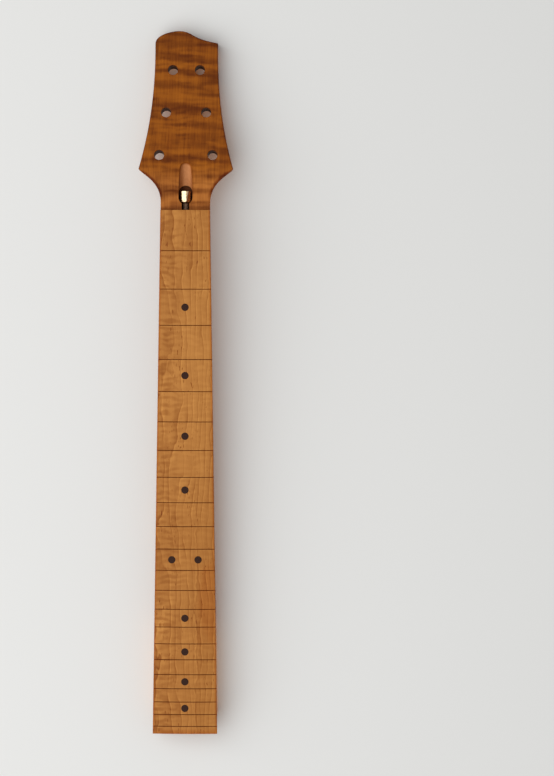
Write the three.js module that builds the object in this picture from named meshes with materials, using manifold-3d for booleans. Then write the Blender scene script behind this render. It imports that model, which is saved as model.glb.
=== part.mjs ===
// Electric guitar neck, bolt-on, unfretted, with a two-way truss rod.
//
// Millimetres. The origin is the centre of the heel's back face, midway between the four
// screw holes. +Y runs along the neck towards the headstock, +Z from the heel's back face
// to the fretboard, and +X to the treble side. The neck is shaped as its maker shapes it:
// a plan outline, a side profile and a carved back are three solids, and the wood is what
// all three share. The truss rod lies in a channel under the fretboard.

import * as THREE from 'three';
import { mergeVertices } from 'three/addons/utils/BufferGeometryUtils.js';
import Module from 'manifold-3d';

const wasm = await Module();
wasm.setup();

// Strings and fretboard
const SCALE_LENGTH = 628.65;
const FRET_COUNT = 22;
const BOARD_TAIL = 6.72;
const NUT_WIDTH = 43;
const BOARD_END_WIDTH = 56.6;
const BOARD_THICKNESS = 6.35;
const BOARD_RADIUS = 304.8;
const SLOT_WIDTH = 0.6;
const SLOT_DEPTH = 3.25;

// Position dots on the face of the board and on its bass edge
const DOT_DIAMETER = 6.35;
const DOT_DEPTH = 1.6;
const DOT_PAIR_SPACING = 23;
const SIDE_DOT_DIAMETER = 2.4;
const SIDE_DOT_DEPTH = 3;
const SIDE_DOT_PAIR_SPACING = 7;
const INLAY_GAP = 0.12;

// Heel
const HEEL_DEPTH = 19.05;
const HEEL_LENGTH_BEHIND = 41.3;
const HEEL_FLAT_AHEAD = 45.1;
const HEEL_END_RISE = 3.3;
const HEEL_CORNER_EASE = 3;
const BOARD_OVERHANG = 8.8;
const HEEL_RAMP = 25;
const HEEL_BLEND = 65;
const HEEL_DIP_SHARE = 1.6;
const SCREW_SPACING_ACROSS = 38.1;
const SCREW_SPACING_ALONG = 50.8;
const SCREW_HOLE_DIAMETER = 3.5;
const SCREW_HOLE_DEPTH = 15;

// Shaft: depth of wood under the fretboard, and the carved section
const SHAFT_DEPTH_NUT = 14.55;
const SHAFT_DEPTH_HEEL = 16.8;
const CARVE_EXPONENT = 2.25;
const SQUARE_EXPONENT = 16;
const CARVE_MARGIN = 0.12;

// Headstock, its outline measured in its own plane from the nut line
const HEAD_ANGLE_DEGREES = 10;
const HEAD_THICKNESS = 14.2;
const NUT_SHELF = 4.8;
const NUT_SHELF_DROP = 0.3;
const FLARE_START = 6;
const HEAD_CORNER_HALF_WIDTH = 41.2;
const HEAD_CORNER_AT = 35.7;
const HEAD_TIP_HALF_WIDTH = 27.3;
const HEAD_SIDE_END = 140;
const HEAD_TIP_TREBLE_AT = 147.6;
const HEAD_TIP_BASS_AT = 147;
const HEAD_CREST_AT = 158.5;
const HEAD_CREST_OFFSET = 7;
const FLARE_HANDLE_SHARES = [[0, 0.61], [0.705, 0.795]];
const SIDE_HANDLE_SHARES = [[0.49, 0.236], [1, 0.55]];
const TIP_TREBLE_HANDLE_SHARES = [[0.74, 0.41], [0.62, 1]];
const TIP_BASS_HANDLE_SHARES = [[0, 0.82], [0.86, 1]];

// Blend of the round shaft into the flat back of the headstock
const JUNCTION_LENGTH = 30;
const JUNCTION_SWELL = 7;
const JUNCTION_SWELL_LENGTH = 13;
const JUNCTION_SQUARING = 0.85;

// Tuner holes: distance from the nut line and from the centre line
const TUNER_HOLE_DIAMETER = 8.7;
const FIRST_TUNER_AT = 48.4;
const FIRST_TUNER_OFFSET = 23.2;
const TUNER_PITCH = 37.7;
const TUNER_ROWS = 3;
const TUNER_DRAW_IN = 5.72;

// Truss rod and the cuts that hold it
const CHANNEL_WIDTH = 6.6;
const CHANNEL_DEPTH = 9.8;
const CHANNEL_END_BEHIND = 28;
const ROD_AXIS_DEPTH = 6.8;
const ROD_DIAMETER = 4.76;
const ROD_CLEARANCE = 0.3;
const BLOCK_LENGTH = 12;
const BLOCK_SETBACK = 1.5;
const TOP_BAR_THICKNESS = 3;
const ROD_END_SETBACK = 1;
const ROD_NUT_ACROSS_FLATS = 7.94;
const ROD_NUT_LENGTH = 10.5;
const ROD_NUT_AT = 5.8;
const ROD_NUT_TURN_DEGREES = 8;
const ROD_NUT_BORE_DIAMETER = 4;
const ROD_NUT_BORE_DEPTH = 5;
const ROD_NUT_SHOULDER = 1.8;
const ROD_NUT_CHAMFER = 0.5;
const POCKET_WIDTH = 12.3;
const POCKET_END = 21.4;
const SOCKET_ROOM = 5.9;
const GROOVE_RADIUS = 6.1;
const GROOVE_END = 42;
const GROOVE_END_DEPTH = 3;

// How far cutting solids run past what they cut
const OVERRUN = 8;

// Facet counts
const CARVE_STEPS = 24;
const BOARD_ARC_STEPS = 14;
const ROUND_STEPS = 24;
const SMALL_ROUND_STEPS = 16;
const CURVE_STEPS = 12;
const HEEL_END_STEPS = 20;
const HEEL_SECTION_COUNT = 14;
const JUNCTION_SECTION_COUNT = 16;

// Places worked out from the sizes above
const BOARD_UNDERSIDE = HEEL_DEPTH;
const BOARD_TOP = BOARD_UNDERSIDE + BOARD_THICKNESS;
const BOARD_END_Y = -HEEL_LENGTH_BEHIND - BOARD_OVERHANG;
const NUT_Y = BOARD_END_Y + stoppedLength(FRET_COUNT) + BOARD_TAIL;
const HEAD_ANGLE = THREE.MathUtils.degToRad(HEAD_ANGLE_DEGREES);
const BREAK_Y = NUT_Y + NUT_SHELF;
const HEAD_BACK_DEPTH = NUT_SHELF_DROP + HEAD_THICKNESS / Math.cos(HEAD_ANGLE);
const RIDGE_Y = BREAK_Y + (SHAFT_DEPTH_NUT - HEAD_BACK_DEPTH) / Math.tan(HEAD_ANGLE);
const ROD_AXIS_Z = BOARD_UNDERSIDE - ROD_AXIS_DEPTH;
const CHANNEL_FLOOR = BOARD_UNDERSIDE - CHANNEL_DEPTH;
const ROD_TOP = BOARD_UNDERSIDE - ROD_CLEARANCE;
const FRONT_BLOCK_Y = NUT_Y - BLOCK_SETBACK - BLOCK_LENGTH;
const REAR_BLOCK_Y = ROD_CLEARANCE - CHANNEL_END_BEHIND;
const FLARE = curveBetween(
  [NUT_WIDTH / 2, FLARE_START],
  [HEAD_CORNER_HALF_WIDTH, HEAD_CORNER_AT],
  FLARE_HANDLE_SHARES,
);

// Distance from the nut to a fret, by the equal-tempered rule.
function stoppedLength(fret) {
  return SCALE_LENGTH * (1 - 2 ** (-fret / 12));
}

// A cubic curve whose two handles are given as shares of the span from start to end.
function curveBetween(start, end, handleShares) {
  const points = [[0, 0], ...handleShares, [1, 1]].map(
    ([shareX, shareY]) => new THREE.Vector2(
      THREE.MathUtils.lerp(start[0], end[0], shareX),
      THREE.MathUtils.lerp(start[1], end[1], shareY),
    ),
  );
  return new THREE.CubicBezierCurve(...points);
}

// Plan position of a distance measured along the tilted headstock from the nut line.
function planY(alongHead) {
  return BREAK_Y + (alongHead - NUT_SHELF) * Math.cos(HEAD_ANGLE);
}

// Height of the line that the back is carved from: level, then tilted with the headstock.
function carveTopZ(y) {
  return BOARD_UNDERSIDE - Math.max(y - BREAK_Y, 0) * Math.tan(HEAD_ANGLE);
}

// Height of the bare wood past the board: the nut's shelf, then the headstock's face.
// The shelf is trimmed a little below the board's glued seat, for the nut to bed on.
function faceZ(y) {
  return carveTopZ(y) - NUT_SHELF_DROP;
}

// Half the width of the tapered shaft and board.
function taperHalfWidth(y) {
  return THREE.MathUtils.mapLinear(y, NUT_Y, BOARD_END_Y, NUT_WIDTH / 2, BOARD_END_WIDTH / 2);
}

// Half the width of the wood between the nut line and the headstock's widest corners.
function flareHalfWidth(y) {
  let low = 0;
  let high = 1;
  for (let step = 0; step < CARVE_STEPS; step += 1) {
    const middle = (low + high) / 2;
    if (planY(FLARE.getPoint(middle).y) < y) low = middle;
    else high = middle;
  }
  return FLARE.getPoint(low).x;
}

// Turns a three.js geometry into a solid, and a solid back into a geometry.
function toSolid(geometry) {
  const bare = geometry.clone();
  bare.deleteAttribute('normal');
  bare.deleteAttribute('uv');
  const merged = mergeVertices(bare);
  const corners = merged.index.array;
  const triangles = [];
  for (let i = 0; i < corners.length; i += 3) {
    const [a, b, c] = [corners[i], corners[i + 1], corners[i + 2]];
    if (a !== b && b !== c && c !== a) triangles.push(a, b, c);
  }
  return new wasm.Manifold(new wasm.Mesh({
    numProp: 3,
    vertProperties: merged.attributes.position.array,
    triVerts: new Uint32Array(triangles),
  }));
}

function toGeometry(solid) {
  const mesh = solid.getMesh();
  const geometry = new THREE.BufferGeometry();
  geometry.setAttribute('position', new THREE.BufferAttribute(mesh.vertProperties, 3));
  geometry.setIndex(new THREE.BufferAttribute(mesh.triVerts, 1));
  return geometry;
}

// A plan shape raised from one height to another.
function prismUp(shape, bottom, top) {
  const geometry = new THREE.ExtrudeGeometry(shape, { depth: top - bottom, bevelEnabled: false });
  return toSolid(geometry.translate(0, 0, bottom));
}

// A side profile, drawn in Y and Z, carried across the neck.
function prismAcross(shape, halfWidth) {
  const geometry = new THREE.ExtrudeGeometry(shape, { depth: halfWidth * 2, bevelEnabled: false });
  geometry.translate(0, 0, -halfWidth);
  const across = new THREE.Matrix4().makeBasis(
    new THREE.Vector3(0, 1, 0),
    new THREE.Vector3(0, 0, 1),
    new THREE.Vector3(1, 0, 0),
  );
  return toSolid(geometry.applyMatrix4(across));
}

// An end profile, drawn in X and Z, carried along the neck.
function prismAlong(shape, fromY, toY) {
  const geometry = new THREE.ExtrudeGeometry(shape, { depth: toY - fromY, bevelEnabled: false });
  return toSolid(geometry.rotateX(Math.PI / 2).translate(0, toY, 0));
}

// A box between two corners.
function box(low, high) {
  const size = high.map((value, axis) => value - low[axis]);
  const centre = high.map((value, axis) => (value + low[axis]) / 2);
  return toSolid(new THREE.BoxGeometry(...size).translate(...centre));
}

// A round bar along Y, its axis at height z.
function barAlongY(diameter, fromY, toY, z, steps) {
  const geometry = new THREE.CylinderGeometry(diameter / 2, diameter / 2, toY - fromY, steps);
  return toSolid(geometry.translate(0, (fromY + toY) / 2, z));
}

// A closed skin over rings of points, each ring counter-clockwise seen from its -Y side.
function loft(rings) {
  const count = rings[0].length;
  const positions = rings.flatMap((ring) => ring.flatMap((point) => point.toArray()));
  const indices = [];
  for (let ring = 0; ring + 1 < rings.length; ring += 1) {
    for (let corner = 0; corner < count; corner += 1) {
      const a = ring * count + corner;
      const b = ring * count + (corner + 1) % count;
      indices.push(a, a + count, b, b, a + count, b + count);
    }
  }
  const first = rings[0].map((point) => new THREE.Vector2(point.x, point.z));
  const last = rings.at(-1).map((point) => new THREE.Vector2(point.x, point.z));
  const lastStart = (rings.length - 1) * count;
  for (const [a, b, c] of THREE.ShapeUtils.triangulateShape(first, [])) indices.push(a, b, c);
  for (const [a, b, c] of THREE.ShapeUtils.triangulateShape(last, [])) {
    indices.push(lastStart + a, lastStart + c, lastStart + b);
  }
  const geometry = new THREE.BufferGeometry();
  geometry.setAttribute('position', new THREE.Float32BufferAttribute(positions, 3));
  geometry.setIndex(indices);
  return toSolid(geometry);
}

// Plan outline of the wood: eased heel end, tapered sides, flares and the waved tip.
function woodOutline() {
  const points = [];
  const heelEndY = (share) => -HEEL_LENGTH_BEHIND
    + HEEL_END_RISE * share ** 2 + HEEL_CORNER_EASE * share ** 14;
  const cornerHalfWidth = taperHalfWidth(heelEndY(1));
  for (let step = 0; step <= HEEL_END_STEPS; step += 1) {
    const share = Math.sin(Math.PI * (step / HEEL_END_STEPS - 0.5));
    points.push(new THREE.Vector2(cornerHalfWidth * share, heelEndY(share)));
  }
  points.push(new THREE.Vector2(NUT_WIDTH / 2, NUT_Y));

  const side = curveBetween(
    [HEAD_CORNER_HALF_WIDTH, HEAD_CORNER_AT],
    [HEAD_TIP_HALF_WIDTH, HEAD_SIDE_END],
    SIDE_HANDLE_SHARES,
  );
  const tipTreble = curveBetween(
    [HEAD_TIP_HALF_WIDTH, HEAD_TIP_TREBLE_AT],
    [-HEAD_CREST_OFFSET, HEAD_CREST_AT],
    TIP_TREBLE_HANDLE_SHARES,
  );
  const tipBass = curveBetween(
    [-HEAD_TIP_HALF_WIDTH, HEAD_TIP_BASS_AT],
    [-HEAD_CREST_OFFSET, HEAD_CREST_AT],
    TIP_BASS_HANDLE_SHARES,
  );
  const onHead = (point) => new THREE.Vector2(point.x, planY(point.y));
  const mirrored = (point) => new THREE.Vector2(-point.x, point.y);
  const halfSide = [
    ...FLARE.getPoints(CURVE_STEPS),
    ...side.getPoints(CURVE_STEPS).slice(1),
  ].map(onHead);
  points.push(...halfSide);
  points.push(...tipTreble.getPoints(CURVE_STEPS).map(onHead));
  points.push(...tipBass.getPoints(CURVE_STEPS).map(onHead).reverse().slice(1));
  points.push(...halfSide.map(mirrored).reverse());
  points.push(new THREE.Vector2(-NUT_WIDTH / 2, NUT_Y));
  return new THREE.Shape(points);
}

// Side profile of the wood: flat heel, board seat, nut shelf and tilted headstock.
function sideProfile() {
  const heelEnd = -HEEL_LENGTH_BEHIND - OVERRUN;
  const tip = planY(HEAD_CREST_AT) + OVERRUN;
  const backZ = (y) => BOARD_UNDERSIDE - HEAD_BACK_DEPTH
    - (y - BREAK_Y) * Math.tan(HEAD_ANGLE);
  return new THREE.Shape([
    new THREE.Vector2(heelEnd, 0),
    new THREE.Vector2(RIDGE_Y, 0),
    new THREE.Vector2(RIDGE_Y, backZ(RIDGE_Y)),
    new THREE.Vector2(tip, backZ(tip)),
    new THREE.Vector2(tip, faceZ(tip)),
    new THREE.Vector2(BREAK_Y, faceZ(BREAK_Y)),
    new THREE.Vector2(NUT_Y, faceZ(NUT_Y)),
    new THREE.Vector2(NUT_Y, BOARD_UNDERSIDE),
    new THREE.Vector2(heelEnd, BOARD_UNDERSIDE),
  ]);
}

// One ring of the carve: a squared-off half ellipse hung from the carve's top line.
function carveRing(y, halfWidth, depth, exponent) {
  const top = carveTopZ(y);
  const ring = [];
  for (let step = 0; step <= CARVE_STEPS; step += 1) {
    const angle = Math.PI * (1 + step / CARVE_STEPS);
    const across = Math.sign(Math.cos(angle)) * Math.abs(Math.cos(angle)) ** (2 / exponent);
    const down = Math.abs(Math.sin(angle)) ** (2 / exponent);
    ring.push(new THREE.Vector3(halfWidth * across, y, top - depth * down));
  }
  ring.push(new THREE.Vector3(halfWidth, y, top + OVERRUN));
  ring.push(new THREE.Vector3(-halfWidth, y, top + OVERRUN));
  return ring;
}

// The carve from the heel to the ridge: it squares up and dips below the heel's flat.
function shaftRing(y) {
  const rampStart = HEEL_FLAT_AHEAD + HEEL_RAMP;
  const ramp = Math.min(Math.max((rampStart - y) / HEEL_RAMP, 0), HEEL_DIP_SHARE);
  const depthAtTaper = THREE.MathUtils.mapLinear(
    Math.max(y, rampStart), rampStart, RIDGE_Y, SHAFT_DEPTH_HEEL, SHAFT_DEPTH_NUT,
  );
  const depth = depthAtTaper + (HEEL_DEPTH - SHAFT_DEPTH_HEEL) * ramp ** 2;
  const roundness = THREE.MathUtils.smoothstep(y, HEEL_FLAT_AHEAD, HEEL_FLAT_AHEAD + HEEL_BLEND);
  const exponent = 1 / THREE.MathUtils.lerp(1 / SQUARE_EXPONENT, 1 / CARVE_EXPONENT, roundness);
  const halfWidth = y < NUT_Y ? taperHalfWidth(y) : NUT_WIDTH / 2;
  return carveRing(y, halfWidth + CARVE_MARGIN, depth, exponent);
}

// The carve past the ridge: it swells below the headstock's back, which cuts it in a U.
function junctionRing(y) {
  const along = Math.min((y - RIDGE_Y) / JUNCTION_LENGTH, 1);
  const swell = Math.min((y - RIDGE_Y) / JUNCTION_SWELL_LENGTH, 1);
  const depth = SHAFT_DEPTH_NUT + JUNCTION_SWELL * (1 - (1 - swell) ** 2);
  const exponent = along < 1
    ? Math.min(CARVE_EXPONENT * (1 - along) ** -JUNCTION_SQUARING, SQUARE_EXPONENT)
    : SQUARE_EXPONENT;
  return carveRing(y, flareHalfWidth(y) + CARVE_MARGIN, depth, exponent);
}

function carveSolid() {
  const rings = [shaftRing(-HEEL_LENGTH_BEHIND - OVERRUN)];
  const blendEnd = HEEL_FLAT_AHEAD + HEEL_BLEND;
  const blendStart = HEEL_FLAT_AHEAD + HEEL_RAMP * (1 - HEEL_DIP_SHARE);
  for (let step = 0; step <= HEEL_SECTION_COUNT; step += 1) {
    rings.push(shaftRing(THREE.MathUtils.lerp(blendStart, blendEnd, step / HEEL_SECTION_COUNT)));
  }
  rings.push(shaftRing(NUT_Y), shaftRing(RIDGE_Y));
  for (let step = 1; step <= JUNCTION_SECTION_COUNT; step += 1) {
    rings.push(junctionRing(RIDGE_Y + JUNCTION_LENGTH * (step / JUNCTION_SECTION_COUNT)));
  }
  const open = HEAD_CORNER_HALF_WIDTH + OVERRUN;
  const depth = SHAFT_DEPTH_NUT + JUNCTION_SWELL;
  const pastJunction = RIDGE_Y + JUNCTION_LENGTH + CARVE_MARGIN;
  rings.push(carveRing(pastJunction, open, depth, SQUARE_EXPONENT));
  rings.push(carveRing(planY(HEAD_CREST_AT) + OVERRUN, open, depth, SQUARE_EXPONENT));
  return loft(rings);
}

// Places of the six tuner holes: three rows that draw in towards the tip.
function tunerPlaces() {
  const places = [];
  for (let row = 0; row < TUNER_ROWS; row += 1) {
    for (const side of [-1, 1]) {
      places.push({
        x: side * (FIRST_TUNER_OFFSET - TUNER_DRAW_IN * row),
        along: FIRST_TUNER_AT + TUNER_PITCH * row,
      });
    }
  }
  return places;
}

// A hole through the headstock, square to its face.
function tunerHole({ x, along }) {
  const length = HEAD_THICKNESS + OVERRUN * 2;
  const radius = TUNER_HOLE_DIAMETER / 2;
  const y = planY(along);
  const geometry = new THREE.CylinderGeometry(radius, radius, length, ROUND_STEPS);
  geometry.rotateX(Math.PI / 2).translate(0, 0, -HEAD_THICKNESS / 2);
  return toSolid(geometry.rotateX(-HEAD_ANGLE).translate(x, y, faceZ(y)));
}

// A blind hole for a neck screw, bored from the heel's back face.
function screwHole(x, y) {
  const radius = SCREW_HOLE_DIAMETER / 2;
  const length = SCREW_HOLE_DEPTH + OVERRUN;
  const geometry = new THREE.CylinderGeometry(radius, radius, length, SMALL_ROUND_STEPS);
  const middle = (SCREW_HOLE_DEPTH - OVERRUN) / 2;
  return toSolid(geometry.rotateX(Math.PI / 2).translate(x, y, middle));
}

// Channel for the rod, open to the board above and to the nut pocket ahead.
function rodChannel() {
  return box(
    [-CHANNEL_WIDTH / 2, -CHANNEL_END_BEHIND, CHANNEL_FLOOR],
    [CHANNEL_WIDTH / 2, NUT_Y + ROD_NUT_AT, BOARD_UNDERSIDE + OVERRUN],
  );
}

// Round-ended pocket that the rod's nut turns in.
function nutPocket() {
  const radius = POCKET_WIDTH / 2;
  const near = planY(NUT_SHELF) + radius;
  const far = planY(POCKET_END) - radius;
  const shape = new THREE.Shape();
  shape.absarc(0, near, radius, Math.PI, Math.PI * 2, false);
  shape.absarc(0, far, radius, 0, Math.PI, false);
  return prismUp(shape, ROD_AXIS_Z - SOCKET_ROOM, BOARD_UNDERSIDE + OVERRUN);
}

// Round-bottomed groove that the wrench lies in, rising to end short of the first tuners.
function wrenchGroove() {
  const rise = GROOVE_RADIUS - GROOVE_END_DEPTH;
  const reach = Math.sqrt(GROOVE_RADIUS ** 2 - rise ** 2);
  const onFace = (along, height) => new THREE.Vector3(
    0,
    planY(along) + height * Math.sin(HEAD_ANGLE),
    faceZ(planY(along)) + height * Math.cos(HEAD_ANGLE),
  );
  const near = onFace(POCKET_END - POCKET_WIDTH / 2, 0);
  const far = onFace(GROOVE_END - reach, rise);
  const path = far.clone().sub(near);
  const turn = new THREE.Quaternion().setFromUnitVectors(
    new THREE.Vector3(0, 1, 0), path.clone().normalize(),
  );
  const middle = near.clone().add(far).multiplyScalar(0.5);
  const geometry = new THREE.CapsuleGeometry(
    GROOVE_RADIUS, path.length(), CURVE_STEPS / 2, ROUND_STEPS,
  );
  return toSolid(geometry.applyQuaternion(turn).translate(...middle.toArray()));
}

function neckShaft() {
  const halfBlank = HEAD_CORNER_HALF_WIDTH + OVERRUN;
  const lowest = carveTopZ(planY(HEAD_CREST_AT)) - HEAD_BACK_DEPTH - OVERRUN;
  const plan = prismUp(woodOutline(), lowest, BOARD_UNDERSIDE + OVERRUN);
  let wood = plan.intersect(prismAcross(sideProfile(), halfBlank)).intersect(carveSolid());
  for (const place of tunerPlaces()) wood = wood.subtract(tunerHole(place));
  for (const x of [-SCREW_SPACING_ACROSS / 2, SCREW_SPACING_ACROSS / 2]) {
    for (const y of [-SCREW_SPACING_ALONG / 2, SCREW_SPACING_ALONG / 2]) {
      wood = wood.subtract(screwHole(x, y));
    }
  }
  return wood.subtract(rodChannel()).subtract(nutPocket()).subtract(wrenchGroove());
}

// The board before it is slotted: a tapered plan under a cylindrical top.
function boardBlank() {
  const plan = new THREE.Shape([
    new THREE.Vector2(-BOARD_END_WIDTH / 2, BOARD_END_Y),
    new THREE.Vector2(BOARD_END_WIDTH / 2, BOARD_END_Y),
    new THREE.Vector2(NUT_WIDTH / 2, NUT_Y),
    new THREE.Vector2(-NUT_WIDTH / 2, NUT_Y),
  ]);
  const halfAngle = Math.asin((BOARD_END_WIDTH / 2 + OVERRUN) / BOARD_RADIUS);
  const end = new THREE.Shape();
  end.absarc(
    0, BOARD_TOP - BOARD_RADIUS, BOARD_RADIUS,
    Math.PI / 2 - halfAngle, Math.PI / 2 + halfAngle, false,
  );
  const arc = end.getPoints(BOARD_ARC_STEPS);
  const section = new THREE.Shape([
    ...arc,
    new THREE.Vector2(arc.at(-1).x, BOARD_UNDERSIDE),
    new THREE.Vector2(arc[0].x, BOARD_UNDERSIDE),
  ]);
  const crowned = prismAlong(section, BOARD_END_Y - OVERRUN, NUT_Y + OVERRUN);
  return prismUp(plan, BOARD_UNDERSIDE, BOARD_TOP + OVERRUN).intersect(crowned);
}

// Place of a dot: midway between two frets.
function dotY(fret) {
  return NUT_Y - (stoppedLength(fret - 1) + stoppedLength(fret)) / 2;
}

// An upright or sideways round bar for a dot, or for its hole when it is widened.
function faceDotBar(x, y, gap) {
  const radius = DOT_DIAMETER / 2 + gap;
  const length = DOT_DEPTH + OVERRUN;
  const geometry = new THREE.CylinderGeometry(radius, radius, length, ROUND_STEPS);
  return toSolid(geometry.rotateX(Math.PI / 2).translate(x, y, BOARD_TOP - DOT_DEPTH + length / 2));
}

function sideDotBar(y, gap) {
  const radius = SIDE_DOT_DIAMETER / 2 + gap;
  const length = SIDE_DOT_DEPTH + OVERRUN;
  const z = BOARD_UNDERSIDE + (BOARD_THICKNESS - SLOT_DEPTH) / 2 + SIDE_DOT_DIAMETER / 2;
  const geometry = new THREE.CylinderGeometry(radius, radius, length, SMALL_ROUND_STEPS);
  const inner = SIDE_DOT_DEPTH - taperHalfWidth(y);
  return toSolid(geometry.rotateZ(Math.PI / 2).translate(inner - length / 2, y, z));
}

// Every position dot by name: single dots, and a pair at the octave.
function dotPlaces() {
  const places = [];
  for (const fret of [3, 5, 7, 9, 15, 17, 19, 21]) {
    places.push({ name: `face_dot_fret_${fret}`, x: 0, y: dotY(fret) });
    places.push({ name: `side_dot_fret_${fret}`, y: dotY(fret) });
  }
  const octave = dotY(12);
  const reach = SIDE_DOT_PAIR_SPACING / 2;
  places.push({ name: 'face_dot_fret_12_bass', x: -DOT_PAIR_SPACING / 2, y: octave });
  places.push({ name: 'face_dot_fret_12_treble', x: DOT_PAIR_SPACING / 2, y: octave });
  places.push({ name: 'side_dot_fret_12_near_nut', y: octave + reach });
  places.push({ name: 'side_dot_fret_12_near_heel', y: octave - reach });
  return places;
}

function dotBar(place, gap) {
  return 'x' in place ? faceDotBar(place.x, place.y, gap) : sideDotBar(place.y, gap);
}

function fretboard(blank, places) {
  let board = blank;
  const halfCut = BOARD_END_WIDTH / 2 + OVERRUN;
  for (let fret = 1; fret <= FRET_COUNT; fret += 1) {
    const y = NUT_Y - stoppedLength(fret);
    board = board.subtract(box(
      [-halfCut, y - SLOT_WIDTH / 2, BOARD_TOP - SLOT_DEPTH],
      [halfCut, y + SLOT_WIDTH / 2, BOARD_TOP + OVERRUN],
    ));
  }
  for (const place of places) board = board.subtract(dotBar(place, INLAY_GAP));
  return board;
}

// Steel block at one end of the rod, bored for it.
function rodBlock(fromY) {
  const halfWidth = CHANNEL_WIDTH / 2 - ROD_CLEARANCE;
  const block = box(
    [-halfWidth, fromY, CHANNEL_FLOOR],
    [halfWidth, fromY + BLOCK_LENGTH, ROD_TOP],
  );
  const bore = ROD_DIAMETER + ROD_CLEARANCE * 2;
  const past = BLOCK_LENGTH + OVERRUN;
  return block.subtract(barAlongY(bore, fromY - OVERRUN, fromY + past, ROD_AXIS_Z, ROUND_STEPS));
}

// Flat bar over the rod, held between the two blocks.
function topBar() {
  const halfWidth = CHANNEL_WIDTH / 2 - ROD_CLEARANCE;
  return box(
    [-halfWidth, REAR_BLOCK_Y + BLOCK_LENGTH, ROD_TOP - TOP_BAR_THICKNESS],
    [halfWidth, FRONT_BLOCK_Y, ROD_TOP],
  );
}

// Turning rod, from its nut to the rear block.
function adjustingRod() {
  const from = REAR_BLOCK_Y + ROD_END_SETBACK;
  return barAlongY(ROD_DIAMETER, from, NUT_Y + ROD_NUT_AT, ROD_AXIS_Z, ROUND_STEPS);
}

// Hexagonal adjusting nut: a sloped shoulder by the board, and a bore in its open end.
function rodNut() {
  const radius = ROD_NUT_ACROSS_FLATS / Math.sqrt(3);
  const hexagon = new THREE.CylinderGeometry(radius, radius, ROD_NUT_LENGTH, 6);
  hexagon.rotateY(THREE.MathUtils.degToRad(ROD_NUT_TURN_DEGREES));
  const half = ROD_NUT_LENGTH / 2;
  const chamfered = new THREE.LatheGeometry([
    new THREE.Vector2(0, -half),
    new THREE.Vector2(radius - ROD_NUT_SHOULDER, -half),
    new THREE.Vector2(radius, ROD_NUT_SHOULDER - half),
    new THREE.Vector2(radius, half - ROD_NUT_CHAMFER),
    new THREE.Vector2(radius - ROD_NUT_CHAMFER, half),
    new THREE.Vector2(0, half),
  ], ROUND_STEPS * 2);
  const bore = barAlongY(
    ROD_NUT_BORE_DIAMETER, half - ROD_NUT_BORE_DEPTH, half + OVERRUN, 0, SMALL_ROUND_STEPS,
  );
  return toSolid(hexagon).intersect(toSolid(chamfered)).subtract(bore);
}

// Finishes
const finishes = {
  shaftMaple: new THREE.MeshStandardMaterial({ color: 0x8f5529, roughness: 0.5, metalness: 0 }),
  boardMaple: new THREE.MeshStandardMaterial({ color: 0xb57a42, roughness: 0.55, metalness: 0 }),
  dotInlay: new THREE.MeshStandardMaterial({ color: 0x3f2e27, roughness: 0.45, metalness: 0 }),
  brass: new THREE.MeshStandardMaterial({ color: 0xd9b46a, roughness: 0.3, metalness: 1 }),
  steel: new THREE.MeshStandardMaterial({ color: 0x6f6a66, roughness: 0.45, metalness: 1 }),
};

const neck = new THREE.Group();

function add(name, solid, material, parent = neck) {
  const mesh = new THREE.Mesh(toGeometry(solid), material);
  mesh.name = name;
  parent.add(mesh);
  return mesh;
}

const blank = boardBlank();
const places = dotPlaces();
add('neck_shaft', neckShaft(), finishes.shaftMaple);
add('fretboard', fretboard(blank, places), finishes.boardMaple);
for (const place of places) add(place.name, dotBar(place, 0).intersect(blank), finishes.dotInlay);

add('truss_rod_front_block', rodBlock(FRONT_BLOCK_Y), finishes.steel);
add('truss_rod_rear_block', rodBlock(REAR_BLOCK_Y), finishes.steel);
add('truss_rod_top_bar', topBar(), finishes.steel);

const turning = new THREE.Group();
turning.position.set(0, NUT_Y + ROD_NUT_AT + ROD_NUT_LENGTH / 2, ROD_AXIS_Z);
neck.add(turning);
add('truss_rod_nut', rodNut(), finishes.brass, turning);
add('truss_rod_adjusting_rod', adjustingRod(), finishes.steel);

export default neck;
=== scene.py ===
"""Electric guitar neck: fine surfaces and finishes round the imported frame.

Lengths are millimetres, and MM turns them into Blender's metres; only the stage's lamps,
camera and floor fade are in metres. +Y runs from the heel to the headstock, +Z from the
heel's back to the fretboard, +X to the treble side.
"""

import math
from types import SimpleNamespace

import bpy
import mathutils
import numpy as np
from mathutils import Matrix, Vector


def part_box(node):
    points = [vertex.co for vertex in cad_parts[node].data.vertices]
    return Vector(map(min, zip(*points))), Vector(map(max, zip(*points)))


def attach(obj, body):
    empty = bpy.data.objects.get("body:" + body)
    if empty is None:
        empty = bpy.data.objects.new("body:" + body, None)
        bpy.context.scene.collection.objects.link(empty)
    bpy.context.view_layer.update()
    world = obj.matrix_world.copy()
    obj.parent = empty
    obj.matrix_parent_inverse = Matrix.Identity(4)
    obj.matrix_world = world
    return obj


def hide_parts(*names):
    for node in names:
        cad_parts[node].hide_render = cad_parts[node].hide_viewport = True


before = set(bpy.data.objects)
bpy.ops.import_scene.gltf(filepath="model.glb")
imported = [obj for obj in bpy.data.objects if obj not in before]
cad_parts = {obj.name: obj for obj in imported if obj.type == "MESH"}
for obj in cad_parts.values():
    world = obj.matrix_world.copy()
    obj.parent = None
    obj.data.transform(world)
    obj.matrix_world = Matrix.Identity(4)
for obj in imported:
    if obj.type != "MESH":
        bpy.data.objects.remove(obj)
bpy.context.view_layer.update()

bl_info = {
    "name": "Electric Guitar Neck",
    "version": (1, 0, 0),
    "blender": (4, 5, 0),
    "location": "3D View > Sidebar > Neck",
    "description": "Builds the wood, fretboard, inlays and truss rod of a bolt-on guitar neck",
    "category": "Object",
}

MM = 0.001


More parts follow.
